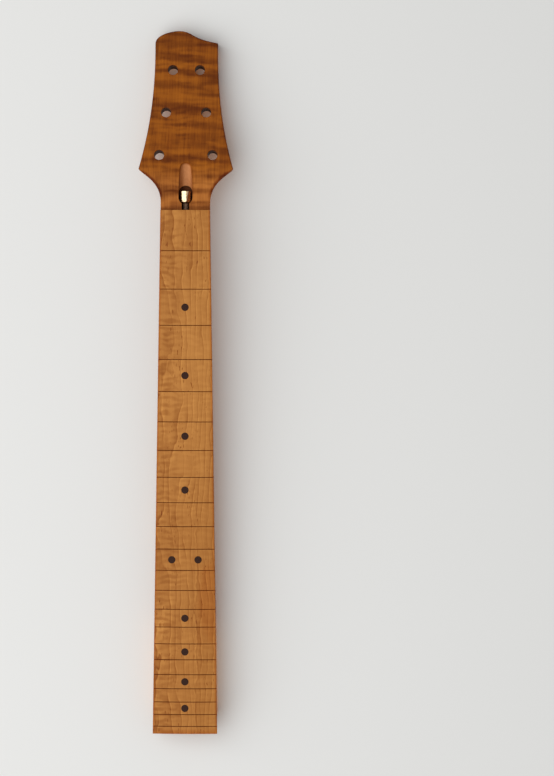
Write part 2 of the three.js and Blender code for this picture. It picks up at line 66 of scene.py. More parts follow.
def node_box(name):
    """Lowest and highest corner of a node of the frame, in millimetres."""
    low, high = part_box(name)
    return np.array(low) / MM, np.array(high) / MM


# Places read from the frame
BOARD_LOW, BOARD_HIGH = node_box("fretboard")
BOARD_END_Y, NUT_Y = BOARD_LOW[1], BOARD_HIGH[1]
BOARD_SEAT, BOARD_TOP = BOARD_LOW[2], BOARD_HIGH[2]
BOARD_END_HALF = BOARD_HIGH[0]
HEEL_END_Y = node_box("neck_shaft")[0][1]

# Strings and board
SCALE_LENGTH = 628.65
FRET_COUNT = 22
NUT_HALF = 21.5
BOARD_RADIUS = 304.8
SLOT_WIDTH = 0.6
SLOT_DEPTH = 3.25
SLOT_DRAFT = 0.02

# Inlays: radius, depth and corners of a dot
FACE_DOT = (3.175, 1.6, 64)
SIDE_DOT = (1.2, 3.0, 40)
INLAY_GLUE = 0.05

# Heel and shaft, places along Y from the middle of the heel's screws
HEEL_FLAT_END = 45.1
HEEL_RISE = 3.3
HEEL_CORNER = 3.0
HEEL_CORNER_POWER = 14
HEEL_RAMP = 25.0
HEEL_BLEND = 65.0
HEEL_DIP_SHARE = 1.6
HEEL_EDGE_FADE = (44.0, 30.0)
HEEL_EDGE_SHARE = 0.6
HEEL_DEPTH = 19.05
DEPTH_AT_HEEL = 16.8
DEPTH_AT_NUT = 14.55
CARVE_EXPONENT = 2.25
SQUARE_EXPONENT = 16.0
CARVE_MARGIN = 0.12
PAD_CREASE = 0.12
CALM_Y = 200.0
SCREW_HALF_ACROSS = 19.05
SCREW_HALF_ALONG = 25.4
SCREW_RADIUS = 1.75
SCREW_DEPTH = 15.0
COUNTERSINK = 0.35

# Station lines of the wood: the stretch where they are sparse, how far they are crowded
# before and past the nut line, and their distances from the places where the form turns
SHAFT_STATIONS = (118.0, 372.0)
CROWDED = (5.0, 11.0)
NEAR_LIP = np.array([0.1, 0.25, 0.45, 0.7, 1, 1.4, 1.9, 2.4, 3, 4])
NEAR_FLAT = np.array([0.25, 0.6, 1.2, 2, 3])
NEAR_CORNER = np.array([0, 0.6, 1.2, 2])

# Headstock, its outline measured in its own plane from the nut line
HEAD_ANGLE = math.radians(10)
HEAD_THICKNESS = 14.2
NUT_SHELF = 4.8
SHELF_DROP = 0.3
FLARE_START = 6.0
CORNER_HALF = 41.2
CORNER_AT = 35.7
TIP_HALF = 27.3
SIDE_END = 140.0
TIP_TREBLE_AT = 147.6
TIP_BASS_AT = 147.0
CREST_AT = 158.5
CREST_X = -7.0
FLARE_SHARES = ((0, 0.61), (0.705, 0.795))
SIDE_SHARES = ((0.49, 0.236), (1, 0.55))
TIP_TREBLE_SHARES = ((0.74, 0.41), (0.62, 1))
TIP_BASS_SHARES = ((0, 0.82), (0.86, 1))
WIDE_AT = 60.0
CORNER_SOFTENING = 1.2
JUNCTION_LENGTH = 29.0
SWELL = 7.0
SWELL_LENGTH = 11.5
SOFT_START = 2.0
SQUARING = 0.85
SCOOP_AT = 1.3
TUNER_RADIUS = 4.35
TUNER_AT = 48.4
TUNER_OFFSET = 23.2
TUNER_PITCH = 37.7
TUNER_DRAW_IN = 5.72

# Truss rod and its cuts
ROD_AXIS_Z = 12.25
ROD_RADIUS = 2.38
THREAD_LENGTH = 15.0
THREAD_RUN_OUT = 1.5
ROD_CHAMFER = 0.4
CHANNEL_HALF = 3.3
CHANNEL_DEPTH = 9.8
CHANNEL_END = -28.0
POCKET_RADIUS = 6.15
POCKET_END = 21.4
POCKET_ROUND = 0.7
SOCKET_ROOM = 5.9
GROOVE_RADIUS = 6.1
GROOVE_END = 42.0
GROOVE_END_DEPTH = 3.0
NUT_FLATS_HALF = 3.97
NUT_SHOULDER = 1.8
NUT_CHAMFER = 0.5
NUT_BORE_RADIUS = 2.0
NUT_BORE_DEPTH = 5.0
NUT_MOUTH = 0.3
NUT_DRILL_CONE = 0.6
NUT_WORN_CORNER = 0.06
NUT_WORN_ANGLE = 0.05
NUT_TURN = math.radians(8)
OVERRUN = 8.0

# Figure of the wood, and the stretches of Y or Z over which it changes
WARMTH = (0.8, 1.1, 1.4)
DARKEST_SWING = -0.66
WOOD_SHINE = 0.08
METAL_SHINE = 0.3
TOWARDS_FACE = (9.0, 17.5)
HEEL_TONE_FROM = 250.0
THROAT = (450.0, 425.0)
SWEEP_MIDDLE = 265.0
SWEEP_LENGTH = 330.0
OVAL_MIDDLE = (13.5, 338.0, 8.0)
OVAL_SIZE = (4.6, 13.0, 9.0)
WARM_MIDDLE = (19.0, 66.0, 24.0)
WARM_SIZE = (11.0, 40.0, 12.0)
VEIN_FADE = (175.0, 120.0)
PALE_MIDDLE = 255.0
# Line across the wrench groove, a little to the treble side, with painted shade to both sides of
# it
GROOVE_LINE = 1.4

# Stage, in metres and degrees, but for the floor's gap in millimetres
FLOOR_GAP = 0.05
LAMP_TARGET = (0.0, 0.26, 0.01)
KEY_PLACE = (-1.3, 0.05, 1.7)
KEY_SIZE = 3.8
UNDER_PLACE = (0.9, 0.1, -1.5)
UNDER_SIZE = 2.8
CAMERA_PLACE = (0.0922, 0.4012, 2.2)
CAMERA_TURN = (-3.855, 0.332, 0.168)
FLOOR_FADE = (0.45, 1.2)

# Places worked out from the sizes above
BREAK_Y = NUT_Y + NUT_SHELF
TILT = math.tan(HEAD_ANGLE)
BACK_DEPTH = SHELF_DROP + HEAD_THICKNESS / math.cos(HEAD_ANGLE)
RIDGE_Y = BREAK_Y + (DEPTH_AT_NUT - BACK_DEPTH) / TILT
RAMP_START = HEEL_FLAT_END + HEEL_RAMP


def lerp(start, end, share):
    return start + (end - start) * share


def smoothstep(low, high, value):
    """Rises from 0 at low to 1 at high along 3t^2 - 2t^3."""
    t = np.clip((value - low) / (high - low), 0, 1)
    return t * t * (3 - 2 * t)


def soft_max(a, b, width):
    """The larger of two heights, with the crease between them rounded by a parabola."""
    return np.maximum(a, b) + np.clip(width - np.abs(a - b), 0, None) ** 2 / (4 * width)


def plan_y(along):
    """Plan position of a distance measured along the tilted headstock from the nut line."""
    return BREAK_Y + (along - NUT_SHELF) * math.cos(HEAD_ANGLE)


def head_curve(start, end, handle_shares, count=400):
    """Cubic curve of the headstock's own plane, seen in plan.

    Its two handles are given as shares of the span from start to end.
    """
    t = np.linspace(0, 1, count)[:, None]
    start, end = np.array(start, float), np.array(end, float)
    first, second = (lerp(start, end, np.array(share)) for share in handle_shares)
    x, along = ((1 - t) ** 3 * start + 3 * (1 - t) ** 2 * t * first
                + 3 * (1 - t) * t * t * second + t ** 3 * end).T
    return np.column_stack([x, plan_y(along)])


CORNER, CREST = (CORNER_HALF, CORNER_AT), (CREST_X, CREST_AT)
FLARE = head_curve((NUT_HALF, FLARE_START), CORNER, FLARE_SHARES)
SIDE = head_curve(CORNER, (TIP_HALF, SIDE_END), SIDE_SHARES)
TIP_BASS = head_curve((-TIP_HALF, TIP_BASS_AT), CREST, TIP_BASS_SHARES)
TIP_TREBLE = head_curve((TIP_HALF, TIP_TREBLE_AT), CREST, TIP_TREBLE_SHARES)
OUTLINE = np.vstack([
    [[BOARD_END_HALF, BOARD_END_Y], [NUT_HALF, NUT_Y]],
    FLARE,
    SIDE[1:],
    [[TIP_HALF, plan_y(CREST_AT)]],
])
TIP = np.vstack([TIP_BASS, TIP_TREBLE[::-1][1:]])


def half_width(y):
    """Half the width of the wood: the outline, its pointed corners softened by five samples."""
    y = np.asarray(y, float)
    shifts = np.array([-1, -0.5, 0, 0.5, 1]) * CORNER_SOFTENING
    weights = (1, 4, 6, 4, 1)
    parts = [np.interp(y + shift, OUTLINE[:, 1], OUTLINE[:, 0]) for shift in shifts]
    return sum(weight * part for weight, part in zip(weights, parts)) / sum(weights)


def heel_end(x):
    """Plan line of the heel's end: a shallow parabola that turns in at the corners."""
    share = np.clip(np.abs(x) / half_width(HEEL_END_Y), 0, 1)
    return HEEL_END_Y + HEEL_RISE * share ** 2 + HEEL_CORNER * share ** HEEL_CORNER_POWER


def tip_end(x):
    """Plan line of the headstock's waved tip."""
    return np.interp(x, TIP[:, 0], TIP[:, 1])


def carve_top(y):
    """Height of the line that the back is carved from: level, then tilted."""
    return BOARD_SEAT - np.maximum(y - BREAK_Y, 0) * TILT


def face_z(y):
    """Height of the wood's upper face: board seat, trimmed nut shelf, tilted headstock."""
    return carve_top(y) - np.where(y > NUT_Y + SLOT_DRAFT, SHELF_DROP, 0)


def head_back(y):
    """Height of the headstock's flat back."""
    return BOARD_SEAT - BACK_DEPTH - (y - BREAK_Y) * TILT


def carve_z(x, y):
    """Height of the carved back: a half superellipse under the carve's top line.

    Towards the heel it squares up and dips; past the ridge it swells and squares up again.
    """
    ramp = np.clip((RAMP_START - y) / HEEL_RAMP, 0, HEEL_DIP_SHARE)
    taper = np.clip((y - RAMP_START) / (RIDGE_Y - RAMP_START), 0, 1)
    depth = lerp(DEPTH_AT_HEEL, DEPTH_AT_NUT, taper) + (HEEL_DEPTH - DEPTH_AT_HEEL) * ramp ** 2
    roundness = smoothstep(HEEL_FLAT_END, HEEL_FLAT_END + HEEL_BLEND, y)
    exponent = 1 / lerp(1 / SQUARE_EXPONENT, 1 / CARVE_EXPONENT, roundness)
    past_ridge = np.clip(y - RIDGE_Y, 0, None)
    begun = past_ridge ** 2 / (past_ridge + SOFT_START)
    along = np.clip(begun / JUNCTION_LENGTH, 0, 0.999)
    swell = np.clip(begun / SWELL_LENGTH, 0, 1)
    squared = np.minimum(CARVE_EXPONENT * (1 - along) ** -SQUARING, SQUARE_EXPONENT)
    past = y > RIDGE_Y
    depth = np.where(past, DEPTH_AT_NUT + SWELL * (1 - (1 - swell) ** 2), depth)
    exponent = np.where(past, squared, exponent)
    share = np.clip(np.abs(x) / (half_width(y) + CARVE_MARGIN), 0, 1)
    return carve_top(y) - depth * (1 - share ** exponent) ** (1 / exponent)


def crossing(rows, low, high, height):
    """Where along Y the given height, a function of x and y, changes sign on each row."""
    low = np.full(len(rows[0]), float(low))
    high = np.full(len(rows[0]), float(high))
    start = np.sign(height(row_x(rows, high), high))
    for _ in range(40):
        middle = (low + high) / 2
        later = np.sign(height(row_x(rows, middle), middle)) == start
        high = np.where(later, middle, high)
        low = np.where(later, low, middle)
    return high


def edge_insets(ease, steps=4):
    """Distances from an edge at even angles round its easing, from 0 to the easing's width."""
    return ease * (1 - np.cos(np.linspace(0, math.pi / 2, steps + 1)))


def make_rows(ease, exponent, half_count):
    """Rows across a piece, as a share of the half width and a fixed lean towards the edge.

    The shares follow a power of a sine, so rows crowd where the section is steep, and
    the last few keep their own distance from the edge, for its rounding.
    """
    angle = np.linspace(-math.pi / 2, math.pi / 2, 2 * half_count + 1)
    core = np.sign(np.sin(angle)) * np.abs(np.sin(angle)) ** (2 / exponent)
    lean = ease - edge_insets(ease)[:-1]
    share = np.concatenate([-np.ones(len(lean)), core, np.ones(len(lean))])
    leans = np.concatenate([-lean, np.zeros(len(core)), lean[::-1]])
    return share, leans, ease


def row_x(rows, y, width=half_width):
    share, lean, ease = rows
    return share * (width(y) - ease) + lean


def eased(distance, radius):
    """How far a rounded edge falls away at a distance from the wall: a quarter circle."""
    inward = radius - np.clip(distance, 0, radius)
    return radius - np.sqrt(radius ** 2 - inward ** 2)


def slope_of(line, x, step=0.05):
    return (line(x + step) - line(x - step)) / (2 * step)


def edge_distance(x, y):
    """Plan distance from a point of the wood to its sides, heel end or tip."""
    side = (half_width(y) - np.abs(x)) / np.hypot(1, slope_of(half_width, y))
    tip = (tip_end(x) - y) / np.hypot(1, slope_of(tip_end, x))
    heel = (y - heel_end(x)) / np.hypot(1, slope_of(heel_end, x))
    return np.clip(np.minimum(np.minimum(side, tip), heel), 0, None)


def fill_mesh(name, vertices, faces):
    """A mesh from millimetre points and rows of vertex numbers."""
    mesh = bpy.data.meshes.new(name)
    mesh.from_pydata((np.asarray(vertices) * MM).tolist(), [], faces)
    mesh.validate()
    mesh.update()
    return mesh


def grid_faces(index):
    """Quads over a grid of vertex numbers, counter-clockwise where rows run +X and +Y."""
    return np.stack([index[:-1, :-1], index[:-1, 1:], index[1:, 1:], index[1:, :-1]], -1)


def rim_of(index):
    """Vertex numbers round a grid's edge, counter-clockwise seen from above."""
    return np.concatenate([index[0, :-1], index[:-1, -1], index[-1, :0:-1], index[:0:-1, 0]])


def two_sheets(name, top, bottom, levels):
    """A closed skin: two sheets of points over one plan, joined round the rim by a wall.

    Each wall ring is a share of the way down from the top sheet's rim to the bottom's.
    """
    count = top.shape[0] * top.shape[1]
    upper = np.arange(count).reshape(top.shape[:2])
    lower = upper + count
    rim = rim_of(upper)
    points = [top.reshape(-1, 3), bottom.reshape(-1, 3)]
    high, low = points[0][rim], points[1][rim]
    points += [lerp(high, low, level / levels) for level in range(1, levels)]
    between = 2 * count + np.arange((levels - 1) * len(rim)).reshape(-1, len(rim))
    rims = [rim, *between, rim_of(lower)]
    faces = [grid_faces(upper).reshape(-1, 4), grid_faces(lower).reshape(-1, 4)[:, ::-1]]
    for above, below in zip(rims[:-1], rims[1:]):
        faces.append(np.column_stack([above, below, np.roll(below, -1), np.roll(above, -1)]))
    return fill_mesh(name, np.vstack(points), np.vstack(faces).tolist())


def closed(name, rings, ends, place=np.asarray):
    """A closed skin over a stack of rings of points, with a fan to a point at either end."""
    count, steps = rings.shape[:2]
    index = np.arange(count * steps).reshape(count, steps)
    loop = np.column_stack([index, index[:, :1]])
    faces = grid_faces(loop).reshape(-1, 4).tolist()
    fans = (loop[0, 1:], loop[0, :-1]), (loop[-1, :-1], loop[-1, 1:])
    for number, fan in enumerate(fans, index.size):
        faces += np.column_stack([np.full(steps, number), *fan]).tolist()
    return fill_mesh(name, place(np.vstack([rings.reshape(-1, 3), ends])), faces)


def turned(name, profile, place, steps, shape=None):
    """A closed turned solid: a profile of radius and height, from axis to axis.

    Each row of the profile is a ring round the axis. Shape may change the rings' radii and
    heights by angle, and place puts them into the neck's frame.
    """
    profile = np.asarray(profile, float)
    angle = np.arange(steps) * 2 * math.pi / steps
    radius = np.repeat(profile[1:-1, :1], steps, axis=1)
    height = np.repeat(profile[1:-1, 1:], steps, axis=1)
    if shape is not None:
        radius, height = shape(radius, height, angle[None, :])
    rings = np.stack([radius * np.cos(angle), radius * np.sin(angle), height], -1)
    return closed(name, rings, [[0, 0, profile[0, 1]], [0, 0, profile[-1, 1]]], place)


def prism(name, outline, levels):
    """A closed upright prism. Each level is a height and how far the outline is drawn in."""
    outline = np.asarray(outline, float)
    centre = outline.mean(0)
    spokes = outline - centre
    unit = spokes / np.linalg.norm(spokes, axis=1, keepdims=True)
    rings = [np.column_stack([outline - unit * inset, np.full(len(outline), z)])
             for z, inset in levels]
    ends = [[*centre, levels[0][0]], [*centre, levels[-1][0]]]
    return closed(name, np.array(rings), ends)


def placed(origin, across, over, along):
    """Placing for a turned piece: where its origin lies and where its three axes point."""
    axes = np.array([across, over, along], float)
    return lambda points: np.asarray(origin) + points @ axes


def upright(x, y, z=0.0, tilt=0.0):
    """Placing for a turned piece that stands on Z, leaned towards +Y by tilt."""
    cosine, sine = math.cos(tilt), math.sin(tilt)
    return placed((x, y, z), (1, 0, 0), (0, cosine, -sine), (0, sine, cosine))


def lying(y, z, lift=0.0):
    """Placing for a turned piece whose axis runs along +Y, its far end raised by lift."""
    cosine, sine = math.cos(lift), math.sin(lift)
    return placed((0, y, z), (-1, 0, 0), (0, -sine, cosine), (0, cosine, sine))


def points_of(mesh):
    """A mesh's points in millimetres."""
    flat = np.empty(len(mesh.vertices) * 3)
    mesh.vertices.foreach_get("co", flat)
    return flat.reshape(-1, 3) / MM


def add_object(name, data):
    made = bpy.data.objects.new(name, data)
    bpy.context.scene.collection.objects.link(made)
    return made


def new_piece(name, mesh, material):
    """An object in the scene, with the material unless its mesh has its own."""
    if not mesh.materials:
        mesh.materials.append(material)
    return add_object(name, mesh)


def cut(piece, cutters, material):
    """Takes cutting meshes from a piece one by one; the cut faces get their own material."""
    for number, mesh in enumerate(cutters):
        cutter = new_piece(f"cutter_{number}", mesh, material)
        modifier = piece.modifiers.new("Cut", "BOOLEAN")
        modifier.operation = "DIFFERENCE"
        modifier.solver = "MANIFOLD"
        modifier.material_mode = "TRANSFER"
        modifier.object = cutter
        bpy.context.view_layer.update()
        graph = bpy.context.evaluated_depsgraph_get()
        result = bpy.data.meshes.new_from_object(piece.evaluated_get(graph))
        piece.modifiers.clear()
        old = piece.data
        if len(result.polygons) == 0:
            raise RuntimeError(f"{piece.name}: the cut by {mesh.name} left nothing")
        result.name = old.name
        piece.data = result
        bpy.data.meshes.remove(old)
        bpy.data.objects.remove(cutter)
        bpy.data.meshes.remove(mesh)


def finish_piece(piece, body, nodes, sharp_degrees=32.0):
    """Smooth shading with crisp arrises, then the piece's body and its replaced nodes."""
    mesh = piece.data
    mesh.shade_smooth()
    mesh.set_sharp_from_angle(angle=math.radians(sharp_degrees))
    weighted = piece.modifiers.new("Flat faces stay flat", "WEIGHTED_NORMAL")
    weighted.keep_sharp = True
    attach(piece, body)
    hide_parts(*nodes)


def joined(name, meshes):
    """One mesh from several that don't touch."""
    points, faces, start = [], [], 0
    for mesh in meshes:
        points.append(points_of(mesh))
        faces += [[start + v for v in polygon.vertices] for polygon in mesh.polygons]
        start += len(mesh.vertices)
        bpy.data.meshes.remove(mesh)
    return fill_mesh(name, np.vstack(points), faces)


class WoodShape:
    """The neck's wood as two heights over its plan, worked out once for all stations."""

    def __init__(self, sizes):
        self.sizes = sizes
        self.rows = make_rows(sizes.edge_ease, CARVE_EXPONENT, half_count=18)
        self.u_y = crossing(
            self.rows, RIDGE_Y, RIDGE_Y + JUNCTION_LENGTH,
            lambda x, y: carve_z(x, y) - head_back(y),
        )
        self.flat_y = crossing(self.rows, HEEL_FLAT_END - HEEL_RAMP, RAMP_START, carve_z)
        middle = len(self.u_y) // 2
        self.line_x = row_x(self.rows, self.u_y)[middle:]
        self.line_y = self.u_y[middle:]
        self.line_slope = np.gradient(self.line_y, self.line_x)

    def u_line(self, x):
        """Where the U runs along Y, and the cosine of its slant, at a distance across."""
        line = np.interp(np.abs(x), self.line_x, self.line_y)
        slope = np.interp(np.abs(x), self.line_x, self.line_slope)
        return line, 1 / np.hypot(1, slope)

    def u_distance(self, x, y):
        """Plan distance past the U where the headstock's flat back cuts the round shaft."""
        line, cosine = self.u_line(x)
        return (y - line) * cosine

    def back_z(self, x, y):
        """Height of the back: carve and heel flat, or headstock flat inside the U.

        A shallow scoop, (m/a)exp(1 - m/a), follows the U inside it, and a parabola as wide as
        the lip rounds the arris by a quarter of the change of slope.
        """
        m = self.u_distance(x, y)
        line, cosine = self.u_line(x)
        step = 0.25
        outer = (carve_z(x, line) - carve_z(x, line - step)) / (step * cosine)
        inner = -TILT / cosine + self.sizes.scoop_depth * math.e / SCOOP_AT
        turn = np.clip(inner - outer, 0, None)
        lip = self.sizes.lip_width / np.sqrt(1 + turn ** 2 / 4)
        past = np.clip(m, 0, None) / SCOOP_AT
        scoop = self.sizes.scoop_depth * past * np.exp(1 - past)
        shaft = soft_max(carve_z(x, y), 0, PAD_CREASE)
        base = np.where(m > 0, head_back(y) + scoop, shaft)
        return base + turn * lip / 4 * np.clip(1 - np.abs(m) / lip, 0, None) ** 2

    def stations(self):
        """Station lines along the rim, crowded where the wood's form turns.

        Those are its two ends, the end of the heel's flat, the U, the nut's seat and the
        headstock's corners. Between them each run has a start, an end and a spacing.
        """
        flat, lip = self.flat_y[0], self.u_y[0]
        corner = plan_y(CORNER_AT)
        heel, tip = heel_end(half_width(HEEL_END_Y)), plan_y(TIP_BASS_AT)
        insets = edge_insets(self.sizes.edge_ease)
        shaft_from, shaft_to = SHAFT_STATIONS
        runs = (
            (heel + 2, flat - 3, 4), (flat + 5, flat + 30, 2), (flat + 30, shaft_from, 4),
            (shaft_from, shaft_to, 7), (shaft_to, lip - 4.5, 2.5),
            (corner + 4, tip - 12, 4), (tip - 12, tip - 2, 2),
        )
        values = np.concatenate([
            *(np.arange(*run) for run in runs),
            heel + insets, [heel + 1.3], tip - insets,
            flat - NEAR_FLAT, [flat], flat + NEAR_FLAT,
            lip - NEAR_LIP, [lip], lip + NEAR_LIP[:6],
            corner - NEAR_CORNER, corner + NEAR_CORNER,
            [NUT_Y, NUT_Y + 2 * SLOT_DRAFT, BREAK_Y],
        ])
        values = np.unique(np.round(values, 4))
        keep = np.diff(values, prepend=values[0] - 1) > 0.03
        return values[keep], (heel, flat, lip, tip)

    def sheets(self):
        """Top and bottom sheets. Each row runs from the heel's end to the tip.

        In the bottom sheet the stations bend to follow the heel's flat and the U, and the
        ones crowded at the nut are spread out again.
        """
        stations, (heel, flat, lip, tip) = self.stations()
        spread = stations.copy()
        at_nut = (stations > NUT_Y - CROWDED[0]) & (stations < NUT_Y + CROWDED[1])
        spread[at_nut] = np.linspace(*stations[at_nut][[0, -1]], at_nut.sum())
        starts = heel_end(row_x(self.rows, HEEL_END_Y))
        ends = tip_end(row_x(self.rows, plan_y(SIDE_END)))
        wide = plan_y(WIDE_AT)
        calms, wides = np.full_like(starts, CALM_Y), np.full_like(starts, wide)
        plans = (
            (self.top_z, stations, (heel, CALM_Y, wide, tip), (starts, calms, wides, ends)),
            (self.bottom_z, spread, (heel, flat, CALM_Y, lip, wide, tip),
             (starts, self.flat_y, calms, self.u_y, wides, ends)),
        )
        sheets = []
        for height, rim_y, rim_knots, row_knots in plans:
            y = np.stack([np.interp(rim_y, rim_knots, row) for row in np.transpose(row_knots)], 1)
            x = row_x(self.rows, y)
            sheets.append(np.stack([x, y, height(x, y)], -1))
        return sheets

    def top_z(self, x, y):
        """Height of the upper face, its edges eased past the nut shelf."""
        amount = smoothstep(BREAK_Y + 1, BREAK_Y + 5, y)
        return face_z(y) - amount * eased(edge_distance(x, y), self.sizes.edge_ease)

    def bottom_z(self, x, y):
        """Height of the back, its edges eased on the headstock and, flatter, on the heel."""
        lip = self.u_y[0]
        distance = edge_distance(x, y)
        round_head = smoothstep(lip - 3, lip + 1, y) * eased(distance, self.sizes.edge_ease)
        at_heel = smoothstep(*HEEL_EDGE_FADE, y) * HEEL_EDGE_SHARE
        return self.back_z(x, y) + round_head + at_heel * eased(distance, self.sizes.heel_ease)


def tuner_cutter(side, row, ease):
    """Straight bore square to the headstock's face, its two rims eased by quarter circles."""
    y = plan_y(TUNER_AT + TUNER_PITCH * row)
    x = side * (TUNER_OFFSET - TUNER_DRAW_IN * row)
    angle = np.linspace(0, math.pi / 2, 4)
    flare = ease * (1 - np.sin(angle))
    drop = ease * (1 - np.cos(angle))
    wide = TUNER_RADIUS + ease
    low = [(TUNER_RADIUS + f, -HEAD_THICKNESS + d) for f, d in zip(flare, drop)]
    high = [(TUNER_RADIUS + f, -d) for f, d in zip(flare[::-1], drop[::-1])]
    profile = [(0, -HEAD_THICKNESS - OVERRUN), (wide, -HEAD_THICKNESS - OVERRUN), *low, *high,
               (wide, OVERRUN), (0, OVERRUN)]
    return turned("tuner_bore", profile, upright(x, y, face_z(y), HEAD_ANGLE), steps=64)


def screw_cutter(x, y):
    """Pilot bore for a neck screw, lightly countersunk, with a drill's cone at the end."""
    cone = SCREW_DEPTH - SCREW_RADIUS / 2
    mouth = SCREW_RADIUS + COUNTERSINK
    profile = [(0, -OVERRUN), (mouth, -OVERRUN), (mouth, 0), (SCREW_RADIUS, COUNTERSINK),
               (SCREW_RADIUS, cone), (0, SCREW_DEPTH)]
    return turned("screw_bore", profile, upright(x, y), steps=40)


def channel_cutter():
    """Square-bottomed channel for the rod, open at the top and into the nut's pocket."""
    near, far, half = CHANNEL_END, BREAK_Y + 1, CHANNEL_HALF
    outline = [(-half, near), (half, near), (half, far), (-half, far)]
    levels = [(BOARD_SEAT - CHANNEL_DEPTH, 0), (BOARD_SEAT + OVERRUN, 0)]
    return prism("rod_channel", outline, levels)


def pocket_cutter():
    """Round-ended pocket for the rod's nut: two half circles, with a milled floor's radius."""
    near = BREAK_Y + POCKET_RADIUS
    far = plan_y(POCKET_END) - POCKET_RADIUS
    angle = np.linspace(0, math.pi, 33)
    arc = np.column_stack([np.cos(angle), np.sin(angle)]) * POCKET_RADIUS
    outline = np.vstack([arc + (0, far), -arc + (0, near)])
    floor = ROD_AXIS_Z - SOCKET_ROOM
    levels = [(floor, POCKET_ROUND), (floor + 0.2, 0.2), (floor + POCKET_ROUND, 0),
              (BOARD_SEAT + OVERRUN, 0)]
    return prism("nut_pocket", outline, levels)


def groove_cutter():
    """Round groove for the wrench: a long capsule that rises to end short of the tuners."""
    rise = GROOVE_RADIUS - GROOVE_END_DEPTH
    reach = math.sqrt(GROOVE_RADIUS ** 2 - rise ** 2)
    near_y, far_y = plan_y(POCKET_END - POCKET_RADIUS), plan_y(GROOVE_END - reach)
    near = np.array([near_y, face_z(near_y)])
    far = np.array([far_y, face_z(far_y)])
    far += rise * np.array([math.sin(HEAD_ANGLE), math.cos(HEAD_ANGLE)])
    length = np.linalg.norm(far - near)
    lift = math.atan2(*(far - near)[::-1])
    angle = np.linspace(-math.pi / 2, math.pi / 2, 33)
    ball = np.column_stack([np.cos(angle), np.sin(angle)]) * GROOVE_RADIUS
    ball[[0, -1], 0] = 0
    end = (0, length)
    profile = np.vstack([ball[:17], [(GROOVE_RADIUS, length)], ball[17:] + end])
    return turned("wrench_groove", profile, lying(*near, lift), steps=96)


def note_edges(mesh, shape):
    """Stores on every point, for the finish's painted shade and highlights, its plan distance from
    three lines.

    They are the rim, the U under the headstock, and the edge of the heel's flat, where the
    distance is the carve's height over its slope.
    """
    x, y = points_of(mesh).T[:2]
    step = 0.1
    slope = np.hypot(carve_z(x + step, y) - carve_z(x - step, y),
                     carve_z(x, y + step) - carve_z(x, y - step)) / (2 * step)
    past_flat = carve_z(x, y) / np.maximum(slope, step)
    for name, values in (("from_rim", edge_distance(x, y)), ("past_u", shape.u_distance(x, y)),
                         ("past_flat", past_flat)):
        mesh.attributes.new(name, "FLOAT", "POINT").data.foreach_set("value", values)


def build_wood(sizes, finishes):
    """The neck's wood: two sheets and a wall, then its bores, channel, pocket and groove."""
    shape = WoodShape(sizes)
    mesh = two_sheets("maple_neck", *shape.sheets(), levels=7)
    wood = new_piece("maple_neck", mesh, finishes["shaft"])
    bores = [tuner_cutter(side, row, sizes.hole_ease) for row in range(3) for side in (-1, 1)]
    bores += [screw_cutter(x, y) for x in (-SCREW_HALF_ACROSS, SCREW_HALF_ACROSS)
              for y in (-SCREW_HALF_ALONG, SCREW_HALF_ALONG)]
    cut(wood, [joined("bores", bores), channel_cutter()], finishes["bore"])
    cut(wood, [groove_cutter(), pocket_cutter()], finishes["groove"])
    note_edges(wood.data, shape)
    finish_piece(wood, "neck", ["neck_shaft"], sharp_degrees=44.0)


def stopped_length(fret):
    """Distance from the nut to a fret, by the equal-tempered rule."""
    return SCALE_LENGTH * (1 - 2 ** (-fret / 12))


def board_half(y):
    return lerp(NUT_HALF, BOARD_END_HALF, (NUT_Y - y) / (NUT_Y - BOARD_END_Y))


def board_arc(x):
    """Height of the board's crown: a circle of the board's radius."""
    return BOARD_TOP - BOARD_RADIUS + np.sqrt(BOARD_RADIUS ** 2 - x ** 2)


def board_stations(sizes):
    """Station lines of the board and how far each lies below its crown.

    A slot has six: chamfer, mouth and floor on one side, and the same mirrored.
    """
    half = SLOT_WIDTH / 2
    offsets = np.array([-half - sizes.slot_chamfer, -half, -half + SLOT_DRAFT])
    drops = np.array([0, sizes.slot_chamfer, SLOT_DEPTH])
    ends = edge_insets(sizes.board_roll / 2, 3)
    y = [BOARD_END_Y + ends, NUT_Y - ends]
    drop = [np.zeros(len(ends)), np.zeros(len(ends))]
    edges = [BOARD_END_Y]
    for fret in range(FRET_COUNT, 0, -1):
        centre = NUT_Y - stopped_length(fret)
        y += [centre + offsets, centre - offsets]
        drop += [drops, drops]
        edges += [centre]
    edges += [NUT_Y]
    for low, high in zip(edges[:-1], edges[1:]):
        between = np.linspace(low, high, 6)[1:-1]
        y.append(between)
        drop.append(np.zeros(len(between)))
    y, drop = np.concatenate(y), np.concatenate(drop)
    order = np.argsort(y)
    return y[order], drop[order]


def board_sheets(sizes):
    """Top sheet with its slots and rolled edges, over the flat glued underside."""
    roll = sizes.board_roll
    stations, drop = board_stations(sizes)
    rows = make_rows(roll, exponent=2, half_count=20)
    y = np.repeat(stations[:, None], len(rows[0]), axis=1)
    x = row_x(rows, y, board_half)
    end = np.minimum(y - BOARD_END_Y, NUT_Y - y)
    rolled = np.maximum(eased(board_half(y) - np.abs(x), roll), eased(end, roll / 2))
    down = drop[:, None]
    z = np.where(down >= SLOT_DEPTH, BOARD_TOP - SLOT_DEPTH, board_arc(x) - rolled - down)
    return np.stack([x, y, z], -1), np.stack([x, y, np.full_like(x, BOARD_SEAT)], -1)


def dot_nodes():
    """Names of the frame's dots, those in the face before those in the side."""
    return [name for name in sorted(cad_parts) if name.startswith(("face_dot", "side_dot"))]


